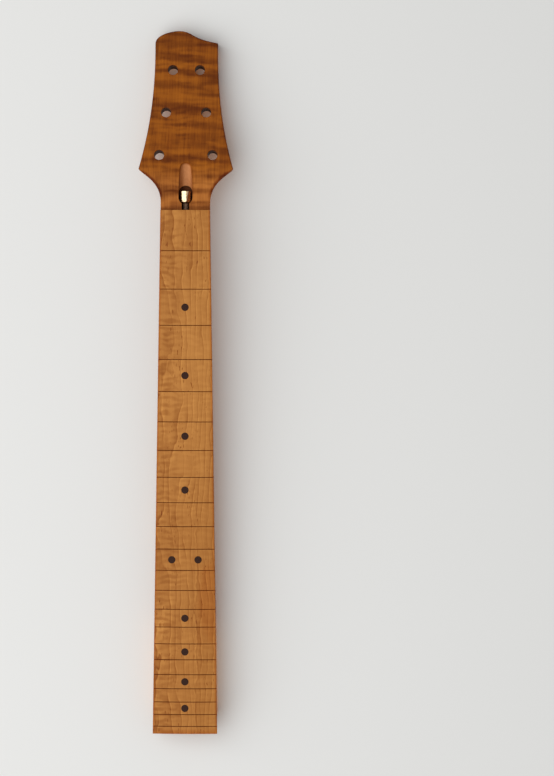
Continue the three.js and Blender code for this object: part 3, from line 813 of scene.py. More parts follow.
def dot_profile(radius, depth, past, ease):
    """Turned outline of a dot from its inner end to its face, the face's edge eased."""
    rim = edge_insets(ease, 3) if ease else np.zeros(1)
    edge = [(radius - inset, past - fall) for inset, fall in zip(rim, eased(rim, ease))]
    inner = [(radius * share, past) for share in (0.8, 0.6, 0.4, 0.2)]
    return [(0, -depth), (radius, -depth), *edge, *inner, (0, past)]


def dot_solid(name, room=0.0, past=0.0, ease=0.0):
    """A dot of the frame, or its pocket when it is wider by some room and runs past the wood.

    A face dot's end follows the crown, and a side dot's end the board's taper.
    """
    low, high = node_box(name)
    x, y, z = (low + high) / 2
    on_face = name.startswith("face")
    radius, depth, steps = FACE_DOT if on_face else SIDE_DOT
    on_edge = placed((-board_half(y), y, z), (0, -1, 0), (0, 0, 1), (-1, 0, 0))
    place = upright(x, y, BOARD_TOP) if on_face else on_edge

    def fitted(points):
        laid = place(points)
        outer = points[:, 2] > -depth / 2
        if on_face:
            laid[:, 2] += np.where(outer, board_arc(laid[:, 0]) - BOARD_TOP, 0)
        else:
            laid[:, 0] += np.where(outer, board_half(y) - board_half(laid[:, 1]), 0)
        return laid

    return turned(name, dot_profile(radius + room, depth, past, ease), fitted, steps)


def build_board(sizes, finishes):
    """The fretboard: its slotted sheets, then the pockets for the dots.

    Faces of the upper sheet with a corner on a slot's floor get the sawn finish.
    """
    top, bottom = board_sheets(sizes)
    mesh = two_sheets("maple_fretboard", top, bottom, levels=5)
    floor = top[..., 2] <= BOARD_TOP - SLOT_DEPTH
    sawn = floor[:-1, :-1] | floor[1:, :-1] | floor[:-1, 1:] | floor[1:, 1:]
    finish = np.zeros(len(mesh.polygons), np.int32)
    finish[:sawn.size] = sawn.ravel()
    for key in ("board", "sawn"):
        mesh.materials.append(finishes[key])
    mesh.polygons.foreach_set("material_index", finish)
    board = new_piece("maple_fretboard", mesh, finishes["board"])
    pockets = [dot_solid(name, INLAY_GLUE, OVERRUN / 4) for name in dot_nodes()]
    cut(board, [joined("dot_pockets", pockets)], finishes["board"])
    finish_piece(board, "neck", ["fretboard"])


def build_dots(sizes, finishes):
    """Every position dot, sanded flush with the face or edge of the board."""
    for name in dot_nodes():
        mesh = dot_solid(name, ease=sizes.dot_ease)
        dot = new_piece(name.replace("_dot", "_inlay"), mesh, finishes["inlay"])
        finish_piece(dot, "neck", [name])


def build_rod_nut(finishes):
    """Six-sided nut: a hexagon between a long cone at its back and a short one in front.

    Round either cone the rings spread from its foot to the line where it meets the flats.
    """
    low, high = node_box("truss_rod_nut")
    length = high[1] - low[1]
    corner = NUT_FLATS_HALF / math.cos(math.pi / 6)
    back = np.linspace(0, NUT_SHOULDER, 6)
    front = np.linspace(NUT_CHAMFER, 0, 4)
    outer = [(corner - NUT_SHOULDER + s, s) for s in back]
    outer += [(corner, s) for s in np.linspace(NUT_SHOULDER, length - NUT_CHAMFER, 5)[1:-1]]
    first = len(outer)
    outer += [(corner - NUT_CHAMFER + s, length - s) for s in front]
    cones = ((slice(0, len(back)), NUT_SHOULDER, 0, 1),
             (slice(first, len(outer)), NUT_CHAMFER, length, -1))
    floor = length - NUT_BORE_DEPTH
    bore = [(NUT_BORE_RADIUS + NUT_MOUTH, length), (NUT_BORE_RADIUS, length - NUT_MOUTH),
            (NUT_BORE_RADIUS, floor)]
    profile = [(0, 0), *outer, *bore, (0, floor - NUT_DRILL_CONE)]
    sector = math.pi / 3

    def six_sided(radius, height, angle):
        turn = np.mod(angle - NUT_TURN - math.pi / 2, sector) - sector / 2
        from_corner = (np.abs(turn) - sector / 2) / NUT_WORN_ANGLE
        flat = NUT_FLATS_HALF / np.cos(turn) - NUT_WORN_CORNER * np.exp(-from_corner ** 2)
        radius, height = radius.copy(), height.copy()
        for rows, depth, end, sign in cones:
            foot = corner - depth
            start = np.minimum(foot, flat)
            radius[rows] = start + (radius[rows] - foot) / depth * (flat - start)
            height[rows] = end + sign * np.clip(radius[rows] - foot, 0, None)
        return np.minimum(radius, flat), height

    mesh = turned("brass_rod_nut", profile, lying(low[1], ROD_AXIS_Z), 144, six_sided)
    nut = new_piece("brass_rod_nut", mesh, finishes["brass"])
    finish_piece(nut, "truss_rod", ["truss_rod_nut"], sharp_degrees=24.0)


def build_rod(sizes, finishes):
    """The turning rod: a round bar with a cut thread at each end.

    The thread takes depth times a triangle wave of length over pitch plus angle.
    """
    (_, start, _), (_, end, _) = node_box("truss_rod_adjusting_rod")
    fine = sizes.thread_pitch / 8
    rings = np.concatenate([
        np.arange(start, start + THREAD_LENGTH, fine),
        np.linspace(start + THREAD_LENGTH, end - THREAD_LENGTH, 24),
        np.arange(end - THREAD_LENGTH + fine, end, fine),
        [end],
    ])
    profile = [(0, start), *[(ROD_RADIUS, y) for y in rings], (0, end)]

    def threaded(radius, height, angle):
        phase = np.mod(height / sizes.thread_pitch + angle / (2 * math.pi), 1)
        groove = 1 - np.abs(2 * phase - 1)
        from_end = np.minimum(height - start, end - height)
        amount = smoothstep(THREAD_LENGTH, THREAD_LENGTH - THREAD_RUN_OUT, from_end)
        chamfer = eased(from_end, ROD_CHAMFER) * 0.8
        return radius - sizes.thread_depth * groove * amount - chamfer, height

    mesh = turned("threaded_rod", profile, lying(0, ROD_AXIS_Z), 40, threaded)
    rod = new_piece("threaded_rod", mesh, finishes["steel"])
    finish_piece(rod, "truss_rod", ["truss_rod_adjusting_rod"], sharp_degrees=50.0)


def from_srgb(*values):
    """A colour written as it is seen, 0 to 255, turned into Blender's linear values."""
    shares = np.array(values, float) / 255
    linear = np.where(shares <= 0.04045, shares / 12.92, ((shares + 0.055) / 1.055) ** 2.4)
    return tuple(float(v) for v in linear)


def label(name):
    """A socket's label, from the name that this script uses for it."""
    return name.replace("_", " ").capitalize()


def arithmetic(operation):
    """A method that adds a Math node to a value's tree."""
    return lambda value, other=0.0: value.shader.math(operation, value, other)


class Value:
    """What a node gives. Arithmetic with it adds Math nodes to the same tree."""

    def __init__(self, shader, socket):
        self.shader = shader
        self.socket = socket

    __add__ = arithmetic("ADD")
    __sub__ = arithmetic("SUBTRACT")
    __mul__ = arithmetic("MULTIPLY")
    __truediv__ = arithmetic("DIVIDE")
    __pow__ = arithmetic("POWER")
    __abs__ = arithmetic("ABSOLUTE")

    def __rsub__(self, other):
        return self.shader.math("SUBTRACT", other, self)


class Shader:
    """Adds and links nodes in one tree. Inputs may be values, numbers or vectors."""

    def __init__(self, tree):
        self.tree = tree

    def node(self, kind, inputs=(), **settings):
        made = self.tree.nodes.new(kind)
        for name, value in settings.items():
            setattr(made, name, value)
        for key, value in dict(inputs).items():
            self.put(made.inputs[key], value)
        return made

    def get(self, kind, inputs=(), output=0, **settings):
        """The value that a new node gives at one of its outputs."""
        return Value(self, self.node(kind, inputs, **settings).outputs[output])

    def put(self, socket, value):
        if isinstance(value, Value):
            self.tree.links.new(value.socket, socket)
        else:
            socket.default_value = value

    def math(self, operation, a, b=0.0, c=0.0, clamp=False):
        inputs = {0: a, 1: b, 2: c}
        return self.get("ShaderNodeMath", inputs, operation=operation, use_clamp=clamp)

    def path(self, name):
        """Whether a ray is of one kind, for a material's or a world's own tree."""
        return self.get("ShaderNodeLightPath", (), name)

    def larger(self, a, b):
        return self.math("MAXIMUM", a, b)

    def vector(self, operation, *inputs):
        return self.get("ShaderNodeVectorMath", enumerate(inputs), operation=operation)

    def length(self, vector):
        return self.get("ShaderNodeVectorMath", {0: vector}, "Value", operation="LENGTH")

    def joined(self, x=0.0, y=0.0, z=0.0):
        return self.get("ShaderNodeCombineXYZ", {0: x, 1: y, 2: z})

    def split(self, vector):
        made = self.node("ShaderNodeSeparateXYZ", {0: vector})
        return [Value(self, socket) for socket in made.outputs]

    def attribute(self, name):
        return self.get("ShaderNodeAttribute", (), "Fac", attribute_name=name)

    def noise(self, vector, detail=2.0, roughness=0.5, distortion=0.0):
        inputs = {"Vector": vector, "Scale": 1.0, "Detail": detail, "Roughness": roughness,
                  "Distortion": distortion}
        return self.get("ShaderNodeTexNoise", inputs, "Fac")

    def streaks(self, place, size, *settings, shift=0.0):
        """Noise whose features have a size along X, Y and Z; shift picks another part of it."""
        shares = self.vector("DIVIDE", place, size)
        if shift:
            shares = self.vector("ADD", shares, (shift, shift * 1.7, shift * 0.6))
        return self.noise(shares, *settings)

    def ramp(self, value, low, high, to_low=0.0, to_high=1.0):
        """Smooth rise of a value from low to high."""
        inputs = {"Value": value, "From Min": low, "From Max": high,
                  "To Min": to_low, "To Max": to_high}
        return self.get("ShaderNodeMapRange", inputs, interpolation_type="SMOOTHSTEP")

    def band(self, value, low, rise, fall, high):
        """Smooth rise from low, and fall again to high."""
        return self.ramp(value, low, rise) * self.ramp(value, high, fall)

    def mix(self, factor, a, b):
        made = self.node("ShaderNodeMix", data_type="RGBA")
        for index, value in ((0, factor), (6, a), (7, b)):
            if isinstance(value, (tuple, mathutils.Color)):
                value = (*value, 1.0)
            self.put(made.inputs[index], value)
        return Value(self, made.outputs[2])

    def summed(self, *terms):
        """Adds up pairs of a value and its weight."""
        total = 0.0
        for value, weight in terms:
            total = self.math("MULTIPLY_ADD", value, weight, total)
        return total

    def group(self, tree, **inputs):
        made = self.node("ShaderNodeGroup", node_tree=tree)
        for name, value in inputs.items():
            self.put(made.inputs[label(name)], value)
        outputs = {socket.name.lower(): Value(self, socket) for socket in made.outputs}
        return SimpleNamespace(**outputs)


class Group(Shader):
    """A node group under way. An input whose default is None is a vector."""

    def __init__(self, name, **inputs):
        super().__init__(bpy.data.node_groups.new(name, "ShaderNodeTree"))
        for key, default in inputs.items():
            socket = self.add_socket(key, "INPUT", default is None)
            if default is not None:
                socket.default_value = default
        entry = self.tree.nodes.new("NodeGroupInput").outputs
        given = {key: Value(self, entry[label(key)]) for key in inputs}
        self.given = SimpleNamespace(**given)

    def add_socket(self, key, in_out, is_vector):
        kind = "NodeSocketVector" if is_vector else "NodeSocketFloat"
        return self.tree.interface.new_socket(label(key), in_out=in_out, socket_type=kind)

    def give(self, **outputs):
        """Ends the group with its outputs and returns its tree."""
        for key in outputs:
            self.add_socket(key, "OUTPUT", key == "place")
        exit_node = self.tree.nodes.new("NodeGroupOutput")
        for key, value in outputs.items():
            self.put(exit_node.inputs[label(key)], value)
        return self.tree


def place_group():
    """Object coordinates in millimetres, with the tilted headstock laid level.

    Past the break the height gains the tilt times the distance, so grain follows the wood.
    """
    s = Group("Place in the wood")
    coordinates = s.get("ShaderNodeTexCoord", (), "Object")
    x, y, z = s.split(s.vector("DIVIDE", coordinates, (MM, MM, MM)))
    return s.give(place=s.joined(x, y, s.larger(y - BREAK_Y, 0.0) * TILT + z))


def flame_group():
    """Flame figure: soft bands across the grain, crowded and broken like the real ones.

    A sine along Y, its phase moved by slow noise, is added to noise stretched along X, so
    bands keep a rough spacing but swell, fork and stop. Streaks along Y comb their ends,
    and a slower noise lets them fade.
    """
    s = Group("Flame figure", place=None, band=8.0, reach=30.0, seed=0.0)
    place, seed = s.given.place, s.given.seed
    size = s.joined(s.given.reach, s.given.band, s.given.reach)
    moved = s.vector("ADD", s.vector("DIVIDE", place, size), s.joined(seed, seed))
    bent = s.noise(s.vector("MULTIPLY", moved, (0.6, 0.2, 0.6)), 1.0)
    sine = s.math("SINE", (bent * 2.6 + s.split(moved)[1]) * (2 * math.pi))
    smudge = s.noise(s.vector("MULTIPLY", moved, (1.0, 1.6, 1.0)), 1.5, 0.4)
    combed = s.streaks(place, (5.2, 60.0, 6.0), 4.0, 0.8, shift=3.0)
    slow = s.noise(s.vector("MULTIPLY", moved, (0.8, 0.3, 0.8)), 1.0)
    presence = s.ramp(slow, 0.34, 0.58, 0.45, 1.0)
    wave = s.summed((smudge, 1.0), (sine, 0.1), (combed - 0.5, 0.45))
    return s.give(dark=s.ramp(wave, 0.4, 0.74) * presence,
                  light=s.ramp(wave, 0.54, 0.3) * presence)


def rings_group():
    """Growth rings: cylinders round a pith line that runs along Y and sweeps up and down.

    The ring number is the distance from the pith, plus wander, over the spacing. Where the
    sweep brings the pith near the surface its rings close into loops. Each ring darkens
    slowly, ends in a thin line, and starts again a little lighter.
    """
    s = Group("Growth rings", place=None, spacing=2.0, pith_across=9.0, pith_up=-22.0, sweep=5.0,
              wander=6.0, ripple=0.7)
    given, place = s.given, s.given.place
    x, y, z = s.split(place)
    turns = (y - SWEEP_MIDDLE) / (SWEEP_LENGTH / (2 * math.pi))
    quicker = s.math("COSINE", turns * 4.0 + 1.0)
    drift = (quicker * 0.16 + s.math("COSINE", turns)) * given.sweep
    distance = s.length(s.joined(x - given.pith_across, z - given.pith_up - drift))
    slow = s.streaks(place, (22.0, 95.0, 30.0), 1.0, 0.4)
    quick = s.streaks(place, (7.0, 19.0, 9.0), 1.0)
    moved = (slow - 0.5) * given.wander + distance + (quick - 0.5) * given.ripple
    number = moved / given.spacing
    share = s.math("FRACT", number)
    ends = s.ramp(share, 1.0, 0.97)
    faint = s.streaks(place, (9.0, 30.0, 9.0), 1.0, shift=13.0)
    strength = s.ramp(faint, 0.35, 0.62, 0.35, 1.0)
    return s.give(
        line=share ** 16.0 * ends * strength,
        late=share ** 3.0 * ends * strength,
        early=s.band(share, 0.0, 0.02, 0.02, 0.22) * strength,
        tone=s.noise(s.joined(s.math("FLOOR", number)), 0.0),
    )


def grain_group():
    """Fine grain: streaks a fraction of a millimetre wide that run far along Y."""
    s = Group("Fine grain", place=None, width=1.0)
    width = s.given.width
    scaled = s.vector("DIVIDE", s.given.place, s.joined(width, width, width))
    broad = s.streaks(scaled, (4.6, 130.0, 6.0), 1.0, shift=19.0)
    coarse = s.streaks(scaled, (3.7, 74.0, 3.7), 4.0, 0.78)
    fine = s.streaks(scaled, (0.34, 15.0, 0.34), 2.0, 0.55, shift=3.0)
    short = s.streaks(scaled, (0.5, 4.2, 0.5), 1.0, shift=7.0)
    return s.give(streak=s.summed((coarse, 0.4), (fine, 0.35), (broad, 0.45)) - 0.1,
                  pore=s.ramp(short, 0.66, 0.78))


def fleck_group():
    """Scattered dark mineral streaks: thresholded noise, long along Y."""
    s = Group("Mineral streaks", place=None, amount=0.5)
    body = s.streaks(s.given.place, (0.85, 5.2, 0.85), 1.0, 0.5, 0.2, shift=11.0)
    where = s.streaks(s.given.place, (13.0, 26.0, 13.0), 1.0, shift=5.0)
    mask = s.ramp(body, 0.66, 0.74) * s.ramp(where, 0.46, 0.6)
    return s.give(fleck=s.math("MULTIPLY", mask, s.given.amount, clamp=True))


def wear_group():
    """Slow blotches of oil and handling, and fine dust-sized speckle."""
    s = Group("Handling", place=None)
    return s.give(blotch=s.streaks(s.given.place, (22.0, 48.0, 22.0), 3.0, 0.55, shift=2.0),
                  speckle=s.streaks(s.given.place, (0.8, 0.8, 0.8), 2.0, 0.6, shift=4.0))


def new_material(name, metallic, shine):
    """A material with its Principled surface."""
    material = bpy.data.materials.new(name)
    material.use_nodes = True
    surface = material.node_tree.nodes["Principled BSDF"]
    surface.inputs["Metallic"].default_value = metallic
    surface.inputs["Specular IOR Level"].default_value = shine
    return material, surface


class Finish(Shader):
    """A material under way, with the place in the wood and the shared effects at hand."""

    def __init__(self, name, groups, metallic=0.0, shine=WOOD_SHINE):
        material, self.surface = new_material(name, metallic, shine)
        super().__init__(material.node_tree)
        self.groups = groups
        self.place = self.group(groups["place"]).place
        self.across, self.along, self.up = self.split(self.place)

    def effect(self, name, **inputs):
        return self.group(self.groups[name], place=self.place, **inputs)

    def relief(self, grain, rings):
        """Height of a planed surface: streaks stand up, ring lines and pores lie lower."""
        return self.summed((grain.streak, 1.0), (rings.line, -0.5), (grain.pore, -0.5))

    def done(self, colour, swing, gloss, relief, strength, depth):
        """Links the colour, lightened or darkened by the swing, the roughness and the bump.

        Red changes least with the swing and blue most, so dark grain stays warm.
        """
        inputs = self.surface.inputs
        gains = self.vector("MULTIPLY_ADD", swing, WARMTH, (1, 1, 1))
        self.put(inputs["Base Color"], self.vector("MULTIPLY", colour, gains))
        self.put(inputs["Roughness"], gloss)
        bump = {"Height": relief, "Strength": strength, "Distance": depth * MM}
        self.put(inputs["Normal"], self.get("ShaderNodeBump", bump, "Normal"))


def rim_shade_and_highlight(s, on_head, on_back):
    """Round the headstock a dark rim of painted shade, wider along its flare, with a pale line of
    painted highlight behind it.
    """
    from_rim = s.attribute("from_rim")
    corner = plan_y(CORNER_AT)
    flare = on_head * s.ramp(s.along, corner + 1, corner - 4)
    on_face_side = s.ramp(from_rim, 3.2, 0.9, 0.0, 0.75)
    on_back_side = s.ramp(from_rim, 1.2, 0.4, 0.0, 0.6)
    wide = flare * ((on_back_side - on_face_side) * on_back + on_face_side)
    rim = s.larger(on_head * s.ramp(from_rim, 1.1, 0.2, 0.0, 0.42), wide)
    # Painted highlight: a pale line behind the dark rim on the back of the flare
    rim_highlight = s.band(from_rim, 0.9, 1.3, 1.6, 2.3) * flare * on_back
    return rim_highlight * 0.75 - rim


def lip_highlight_and_shade(s, on_back):
    """The arris of the U lit pale as a painted highlight, with a dark crescent of painted shade
    inside it.
    """
    past_u = s.attribute("past_u")
    # Painted highlight along the U's arris, then painted shade in a crescent just inside it
    pale = s.band(past_u, -0.5, 0.1, 0.4, 1.0)
    inside = s.band(past_u, 0.6, 1.4, 1.6, 5.0) * s.ramp(abs(s.across), 17.0, 7.0)
    return on_back * (pale * 0.5 - inside * 0.6)


def pad_highlight_and_shade(s):
    """A pale line round the heel's flat as painted highlight, a dark one beyond it as painted
    shade, and a darker upper end.
    """
    from_rim, past_flat = s.attribute("from_rim"), s.attribute("past_flat")
    on_heel = s.ramp(s.along, 62.0, 50.0) * s.ramp(s.up, 5.0, 3.0)
    corner = s.ramp(abs(s.across), 10.0, 22.0, 0.3, 1.0)
    at_end = s.ramp(s.along, HEEL_END_Y + 10, HEEL_END_Y + 4)
    side_line = s.band(from_rim, 1.0, 1.7, 2.1, 2.8) * s.ramp(past_flat, 0.0, -1.0)
    # Pale painted highlight along the flat's edge, and painted shade on the surfaces beyond it
    line = s.larger(s.band(past_flat, -1.4, -0.5, 0.0, 0.5) * corner, side_line)
    beyond = s.larger(s.ramp(from_rim, 1.6, 0.9), s.band(past_flat, 0.1, 0.9, 0.9, 5.0))
    return on_heel * s.summed((line * (at_end * -0.7 + 1.0), 0.26),
                              (beyond * (at_end * 0.9 + 1.0), -0.24),
                              (s.ramp(s.along, 5.0, 32.0), -0.12))


def side_shade(s, on_shaft):
    """How much painted shade darkens the shaft where it turns to its sides, and towards the bass.
    """
    from_side = s.ramp(s.attribute("from_rim"), 10.0, 0.0) ** 1.3
    turned_side_shade = from_side * on_shaft * s.ramp(s.along, 46.0, 62.0)
    # Painted shade on the bass side, strongest near the nut
    bass = on_shaft * s.ramp(s.across, -1.0, -12.0) * s.ramp(s.along, 250.0, 345.0, 0.25, 1.0)
    return s.larger(turned_side_shade * 0.54, bass * 0.34)


def mineral_oval(s):
    """A dim oval stain in the back near the nut: an ellipse, darker at its rim and low end."""
    from_middle = s.vector("SUBTRACT", s.place, OVAL_MIDDLE)
    rough = s.streaks(s.place, (3.0, 7.0, 3.0), 2.0)
    edge = (rough - 0.5) * 0.5 + s.length(s.vector("DIVIDE", from_middle, OVAL_SIZE))
    low_end = s.ramp(s.split(from_middle)[1], 2.0, -11.0)
    inside = s.ramp(edge, 1.1, 0.8) * (low_end * 0.7 + 0.3)
    return s.band(edge, 0.55, 0.95, 0.95, 1.15) * 0.35 + inside


def shaft_material(name, groups, wish):
    """Roasted flame maple, oiled. The face is redder, and the heel's end is paler.

    The bands fade towards the heel, on the treble side of the shaft and at the throat.
    """
    s = Finish(name, groups)
    near_face = s.ramp(s.up, *TOWARDS_FACE)
    near_heel = s.ramp(s.along, HEEL_TONE_FROM, 0.0)
    on_shaft = s.ramp(s.along, RIDGE_Y + 4, RIDGE_Y - 14)
    on_head = s.ramp(s.along, BREAK_Y + 2, BREAK_Y + 12)
    on_back = s.ramp(s.up, BOARD_SEAT - 5, BOARD_SEAT - 7)
    flame_band = wish.flame_band / MM
    flame = s.effect("flame", band=flame_band, reach=55.0)
    fine = s.effect("flame", band=flame_band / 2.4, reach=17.0, seed=41.0)
    rings = s.effect("rings", spacing=2.2, pith_across=s.ramp(s.up, *TOWARDS_FACE, 11.0, -70.0))
    grain, fleck, wear = s.effect("grain"), s.effect("fleck"), s.effect("wear")
    back = s.mix(near_heel, wish.back_colour, wish.heel_colour)
    back_dark = s.mix(near_heel, wish.back_dark, wish.heel_dark)
    face = s.mix(s.ramp(s.along, *THROAT), wish.face_colour, wish.throat_colour)
    held = s.ramp(s.along, 20.0, 110.0, 0.6, 1.0) * s.ramp(s.along, 90.0, 220.0, 1.0, 1.2) \
        - near_face * s.ramp(s.along, 434.0, 420.0, 0.0, 0.35)
    one_sided = on_shaft * s.ramp(s.across, 0.0, 15.0, 0.0, 0.6)
    quicker = fine.dark * (on_shaft * -0.25 + 0.5)
    bands = (flame.dark * 0.88 + quicker) * (held - one_sided)
    banded = s.mix(
        s.math("MULTIPLY", bands, wish.flame_strength, clamp=True),
        s.mix(near_face, back, face),
        s.mix(near_face, back_dark, wish.face_dark),
    )
    # Besides the figure, the swing holds painted shade and painted highlights round the
    # headstock's rim, the U's lip, the shaft's sides and the heel's flat
    swing = s.summed(
        (grain.streak - 0.5, 1.7), (wear.blotch - 0.5, 0.7), (flame.light, 0.2),
        (rings.line, -0.26), (rings.late, -0.16), (rings.early, 0.1), (rings.tone - 0.5, 0.2),
        (grain.pore, -0.12), (fleck.fleck, -0.5), (mineral_oval(s), -0.3),
        (rim_shade_and_highlight(s, on_head, on_back), 1.0), (lip_highlight_and_shade(s, on_back), 1.0),
        (side_shade(s, on_shaft), -1.0), (pad_highlight_and_shade(s), 1.0),
    )
    gloss = s.summed((wear.speckle, 0.1), (bands, 0.06), (1.0, wish.shaft_roughness - 0.07))
    s.done(banded, s.larger(swing, DARKEST_SWING), gloss, s.relief(grain, rings), 0.16, 0.12)


def cut_material(name, groups, colours, heights, rim, flanks=0.0):
    """Maple as a cutter left it, from one colour below to another above, with a dark rim. Where
    the colour below is darker it is painted shade deeper in the cut, and so is the dark rim of the
    bores.

    Turned marks run round a bore as fine steps of height, and cloud the finish. Flank shade is how
    much painted shade darkens the wood to both sides of a line a little to the treble side, and at
    the wrench groove's two ends.
    """
    s = Finish(name, groups)
    grain, wear = s.effect("grain"), s.effect("wear")
    groove_end = plan_y(GROOVE_END)
    # Painted shade to both sides of the groove's line, at its far end and towards the pocket
    shade = s.larger(s.ramp(abs(s.across - GROOVE_LINE), 1.6, 5.4),
                     s.ramp(s.along, groove_end - 3.5, groove_end - 0.5))
    shade = s.ramp(s.along, groove_end - 10, plan_y(POCKET_END)) * 0.35 + shade
    near_rim = s.ramp(s.up, BOARD_SEAT - 2.4, BOARD_SEAT - 0.6)
    colour = s.mix(near_rim, s.mix(s.ramp(s.up, *heights), *colours), rim)
    marks = s.streaks(s.place, (4.0, 4.0, 0.35), 2.0)
    swing = s.summed((grain.streak - 0.5, 0.6), (wear.speckle - 0.5, 0.3), (marks - 0.5, 0.3),
                     (shade, -flanks))
    gloss = s.summed((wear.speckle, 0.15), (1.0, 0.55))
    s.done(colour, swing, gloss, s.summed((grain.streak, 1.0), (marks, 0.6)), 0.25, 0.15)


def board_edges(s):
    """Where the board is warmer: close to its long sides and its end."""
    slope = (BOARD_END_HALF - NUT_HALF) / (NUT_Y - BOARD_END_Y)
    from_side = s.along * -slope + (NUT_HALF + NUT_Y * slope) - abs(s.across)
    inner = s.ramp(from_side, 0.3, 2.4) * s.ramp(s.along - BOARD_END_Y, 0.3, 6.0)
    return 0.8 - inner * 0.8


def board_material(name, groups, wish):
    """Flat-sawn roasted maple, lighter: wandering ring lines, mineral streaks, faint flame.

    The flame shows most on the bass side, a warm patch lies on the treble side, and a vein
    with a shadow beside it wanders up from the board's end.
    """
    s = Finish(name, groups)
    flame = s.effect("flame", band=5.6, reach=9.0, seed=17.0)
    rings = s.effect("rings", spacing=2.6, pith_across=-26.0, pith_up=-26.0, sweep=0.6,
                     wander=9.0, ripple=2.4)
    grain, fleck = s.effect("grain", width=1.2), s.effect("fleck", amount=1.0)
    wear = s.effect("wear")
    bands = flame.dark * s.ramp(s.across, 4.0, -14.0, 0.1, 0.42)
    banded = s.mix(bands, wish.board_colour, wish.board_dark)
    from_patch = s.vector("DIVIDE", s.vector("SUBTRACT", s.place, WARM_MIDDLE), WARM_SIZE)
    patch = (wear.blotch - 0.5) * -2.4 + s.length(from_patch)
    warm = s.larger(s.ramp(patch, 1.3, 0.5, 0.0, 0.6), board_edges(s))
    bend = s.streaks(s.place, (900.0, 21.0, 900.0), 2.0, 0.6, shift=8.0)
    from_vein = s.across - (bend * 13.0 + 2.5)
    low = s.ramp(s.along, *VEIN_FADE)
    swing = s.summed(
        (grain.streak - 0.5, 0.6), (wear.blotch - 0.5, 0.5), (flame.light, 0.08),
        (rings.line, -0.3), (rings.late, -0.26), (rings.early, 0.2), (rings.tone - 0.5, 0.3),
        (grain.pore, -0.1), (fleck.fleck, -0.7),
        (s.ramp(abs(from_vein), 1.1, 0.1) * low, 0.16),
        (s.band(from_vein, 0.5, 1.1, 1.1, 3.2) * low, -0.14),
        (s.ramp(s.across, 2.0, -18.0), -0.08),
        # Painted light: the board's underside and the lowest edge of its sides are lightened
        (s.ramp(s.up, BOARD_SEAT + 0.6, BOARD_SEAT + 0.1), 0.3),
        (s.ramp(abs(s.along - PALE_MIDDLE), 150.0, 30.0), 0.1),
    )
    gloss = s.summed((wear.speckle, 0.1), (grain.streak, 0.15),
                     (1.0, wish.board_roughness - 0.12))
    warmed = s.mix(warm, banded, wish.board_warm)
    s.done(warmed, swing, gloss, s.relief(grain, rings), 0.14, 0.12)


def inlay_material(name, groups, wish):
    """Dark brown composition, sanded flush: fine scratches along the board, a little dust."""
    s = Finish(name, groups)
    wear = s.effect("wear")
    scratch = s.streaks(s.place, (0.16, 2.6, 0.16), 3.0, 0.65)
    dusty = tuple(v * 1.4 for v in wish.inlay_colour)
    colour = s.mix(s.ramp(wear.speckle, 0.42, 0.68), wish.inlay_colour, dusty)
    gloss = s.ramp(scratch, 0.3, 0.7, 0.36, 0.52)
    s.done(colour, (scratch - 0.5) * 0.5, gloss, scratch, 0.1, 0.03)


def metal_material(name, groups, colour, dull, metallic, roughness):
    """Drawn metal: fine lines along Y, broken by slow patches of tarnish."""
    s = Finish(name, groups, metallic, METAL_SHINE)
    lines = s.streaks(s.place, (0.14, 6.0, 0.14), 3.0, 0.6)
    tarnish = s.streaks(s.place, (1.7, 2.6, 1.7), 3.0, 0.6, shift=9.0)
    tint = s.mix(s.ramp(tarnish, 0.46, 0.7, 0.0, 0.7), colour, dull)
    gloss = s.summed((lines, 0.25), (tarnish, 0.15), (1.0, roughness - 0.2))
    s.done(tint, (lines - 0.5) * 0.3, gloss, lines, 0.12, 0.02)


FINISHES = {
    "shaft": "roasted_flame_maple", "groove": "routed_maple", "bore": "bored_maple",
    "sawn": "sawn_maple", "board": "roasted_board_maple", "inlay": "dark_inlay",
    "brass": "drawn_brass", "steel": "drawn_steel",
}


def make_finishes(wish):
    """Every material of the list above; their shared effects are node groups made once."""
    groups = {"place": place_group(), "flame": flame_group(), "rings": rings_group(),
              "grain": grain_group(), "fleck": fleck_group(), "wear": wear_group()}
    recipes = {
        "shaft": (shaft_material, wish),
        # The cuts' darker lower colours, and the bores' dark rim, are painted shade deeper in the
        # cut
        "groove": (cut_material, (wish.groove_deep, wish.groove_colour), (8.0, 12.5),
                   wish.face_colour, 0.34),
        "bore": (cut_material, (wish.bore_dark, wish.bore_colour), (8.0, 16.0),
                 wish.face_dark),
        "sawn": (cut_material, (wish.sawn_colour, wish.sawn_colour), (0.0, 1.0),
                 wish.sawn_colour),
        "board": (board_material, wish),
        "inlay": (inlay_material, wish),
        "brass": (metal_material, wish.brass_colour, wish.brass_dull, 1.0, 0.24),
        "steel": (metal_material, wish.steel_colour, wish.steel_dull, 0.5, 0.62),
    }
    for key, (recipe, *settings) in recipes.items():
        recipe(FINISHES[key], groups, *settings)


def finishes_of(context):
    """The materials by key, made on first use."""
    if FINISHES["shaft"] not in bpy.data.materials:
        make_finishes(context.scene.neck_finish)
    return {key: bpy.data.materials[name] for key, name in FINISHES.items()}


def length_property(name, description, millimetres, most, least=0.02):
    """A length that is given in millimetres and kept in metres."""
    return bpy.props.FloatProperty(
        name=name, description=description, default=millimetres * MM,
        min=least * MM, max=most * MM, precision=5, unit="LENGTH", subtype="DISTANCE",
    )


def colour_property(name, description, *srgb):
    return bpy.props.FloatVectorProperty(
        name=name, description=description, default=from_srgb(*srgb),
        subtype="COLOR", size=3, min=0, max=1,
    )


def level_property(name, description, default, most=1.0, least=0.0, subtype="NONE"):
    return bpy.props.FloatProperty(
        name=name, description=description, default=default, min=least, max=most,
        subtype=subtype,
    )


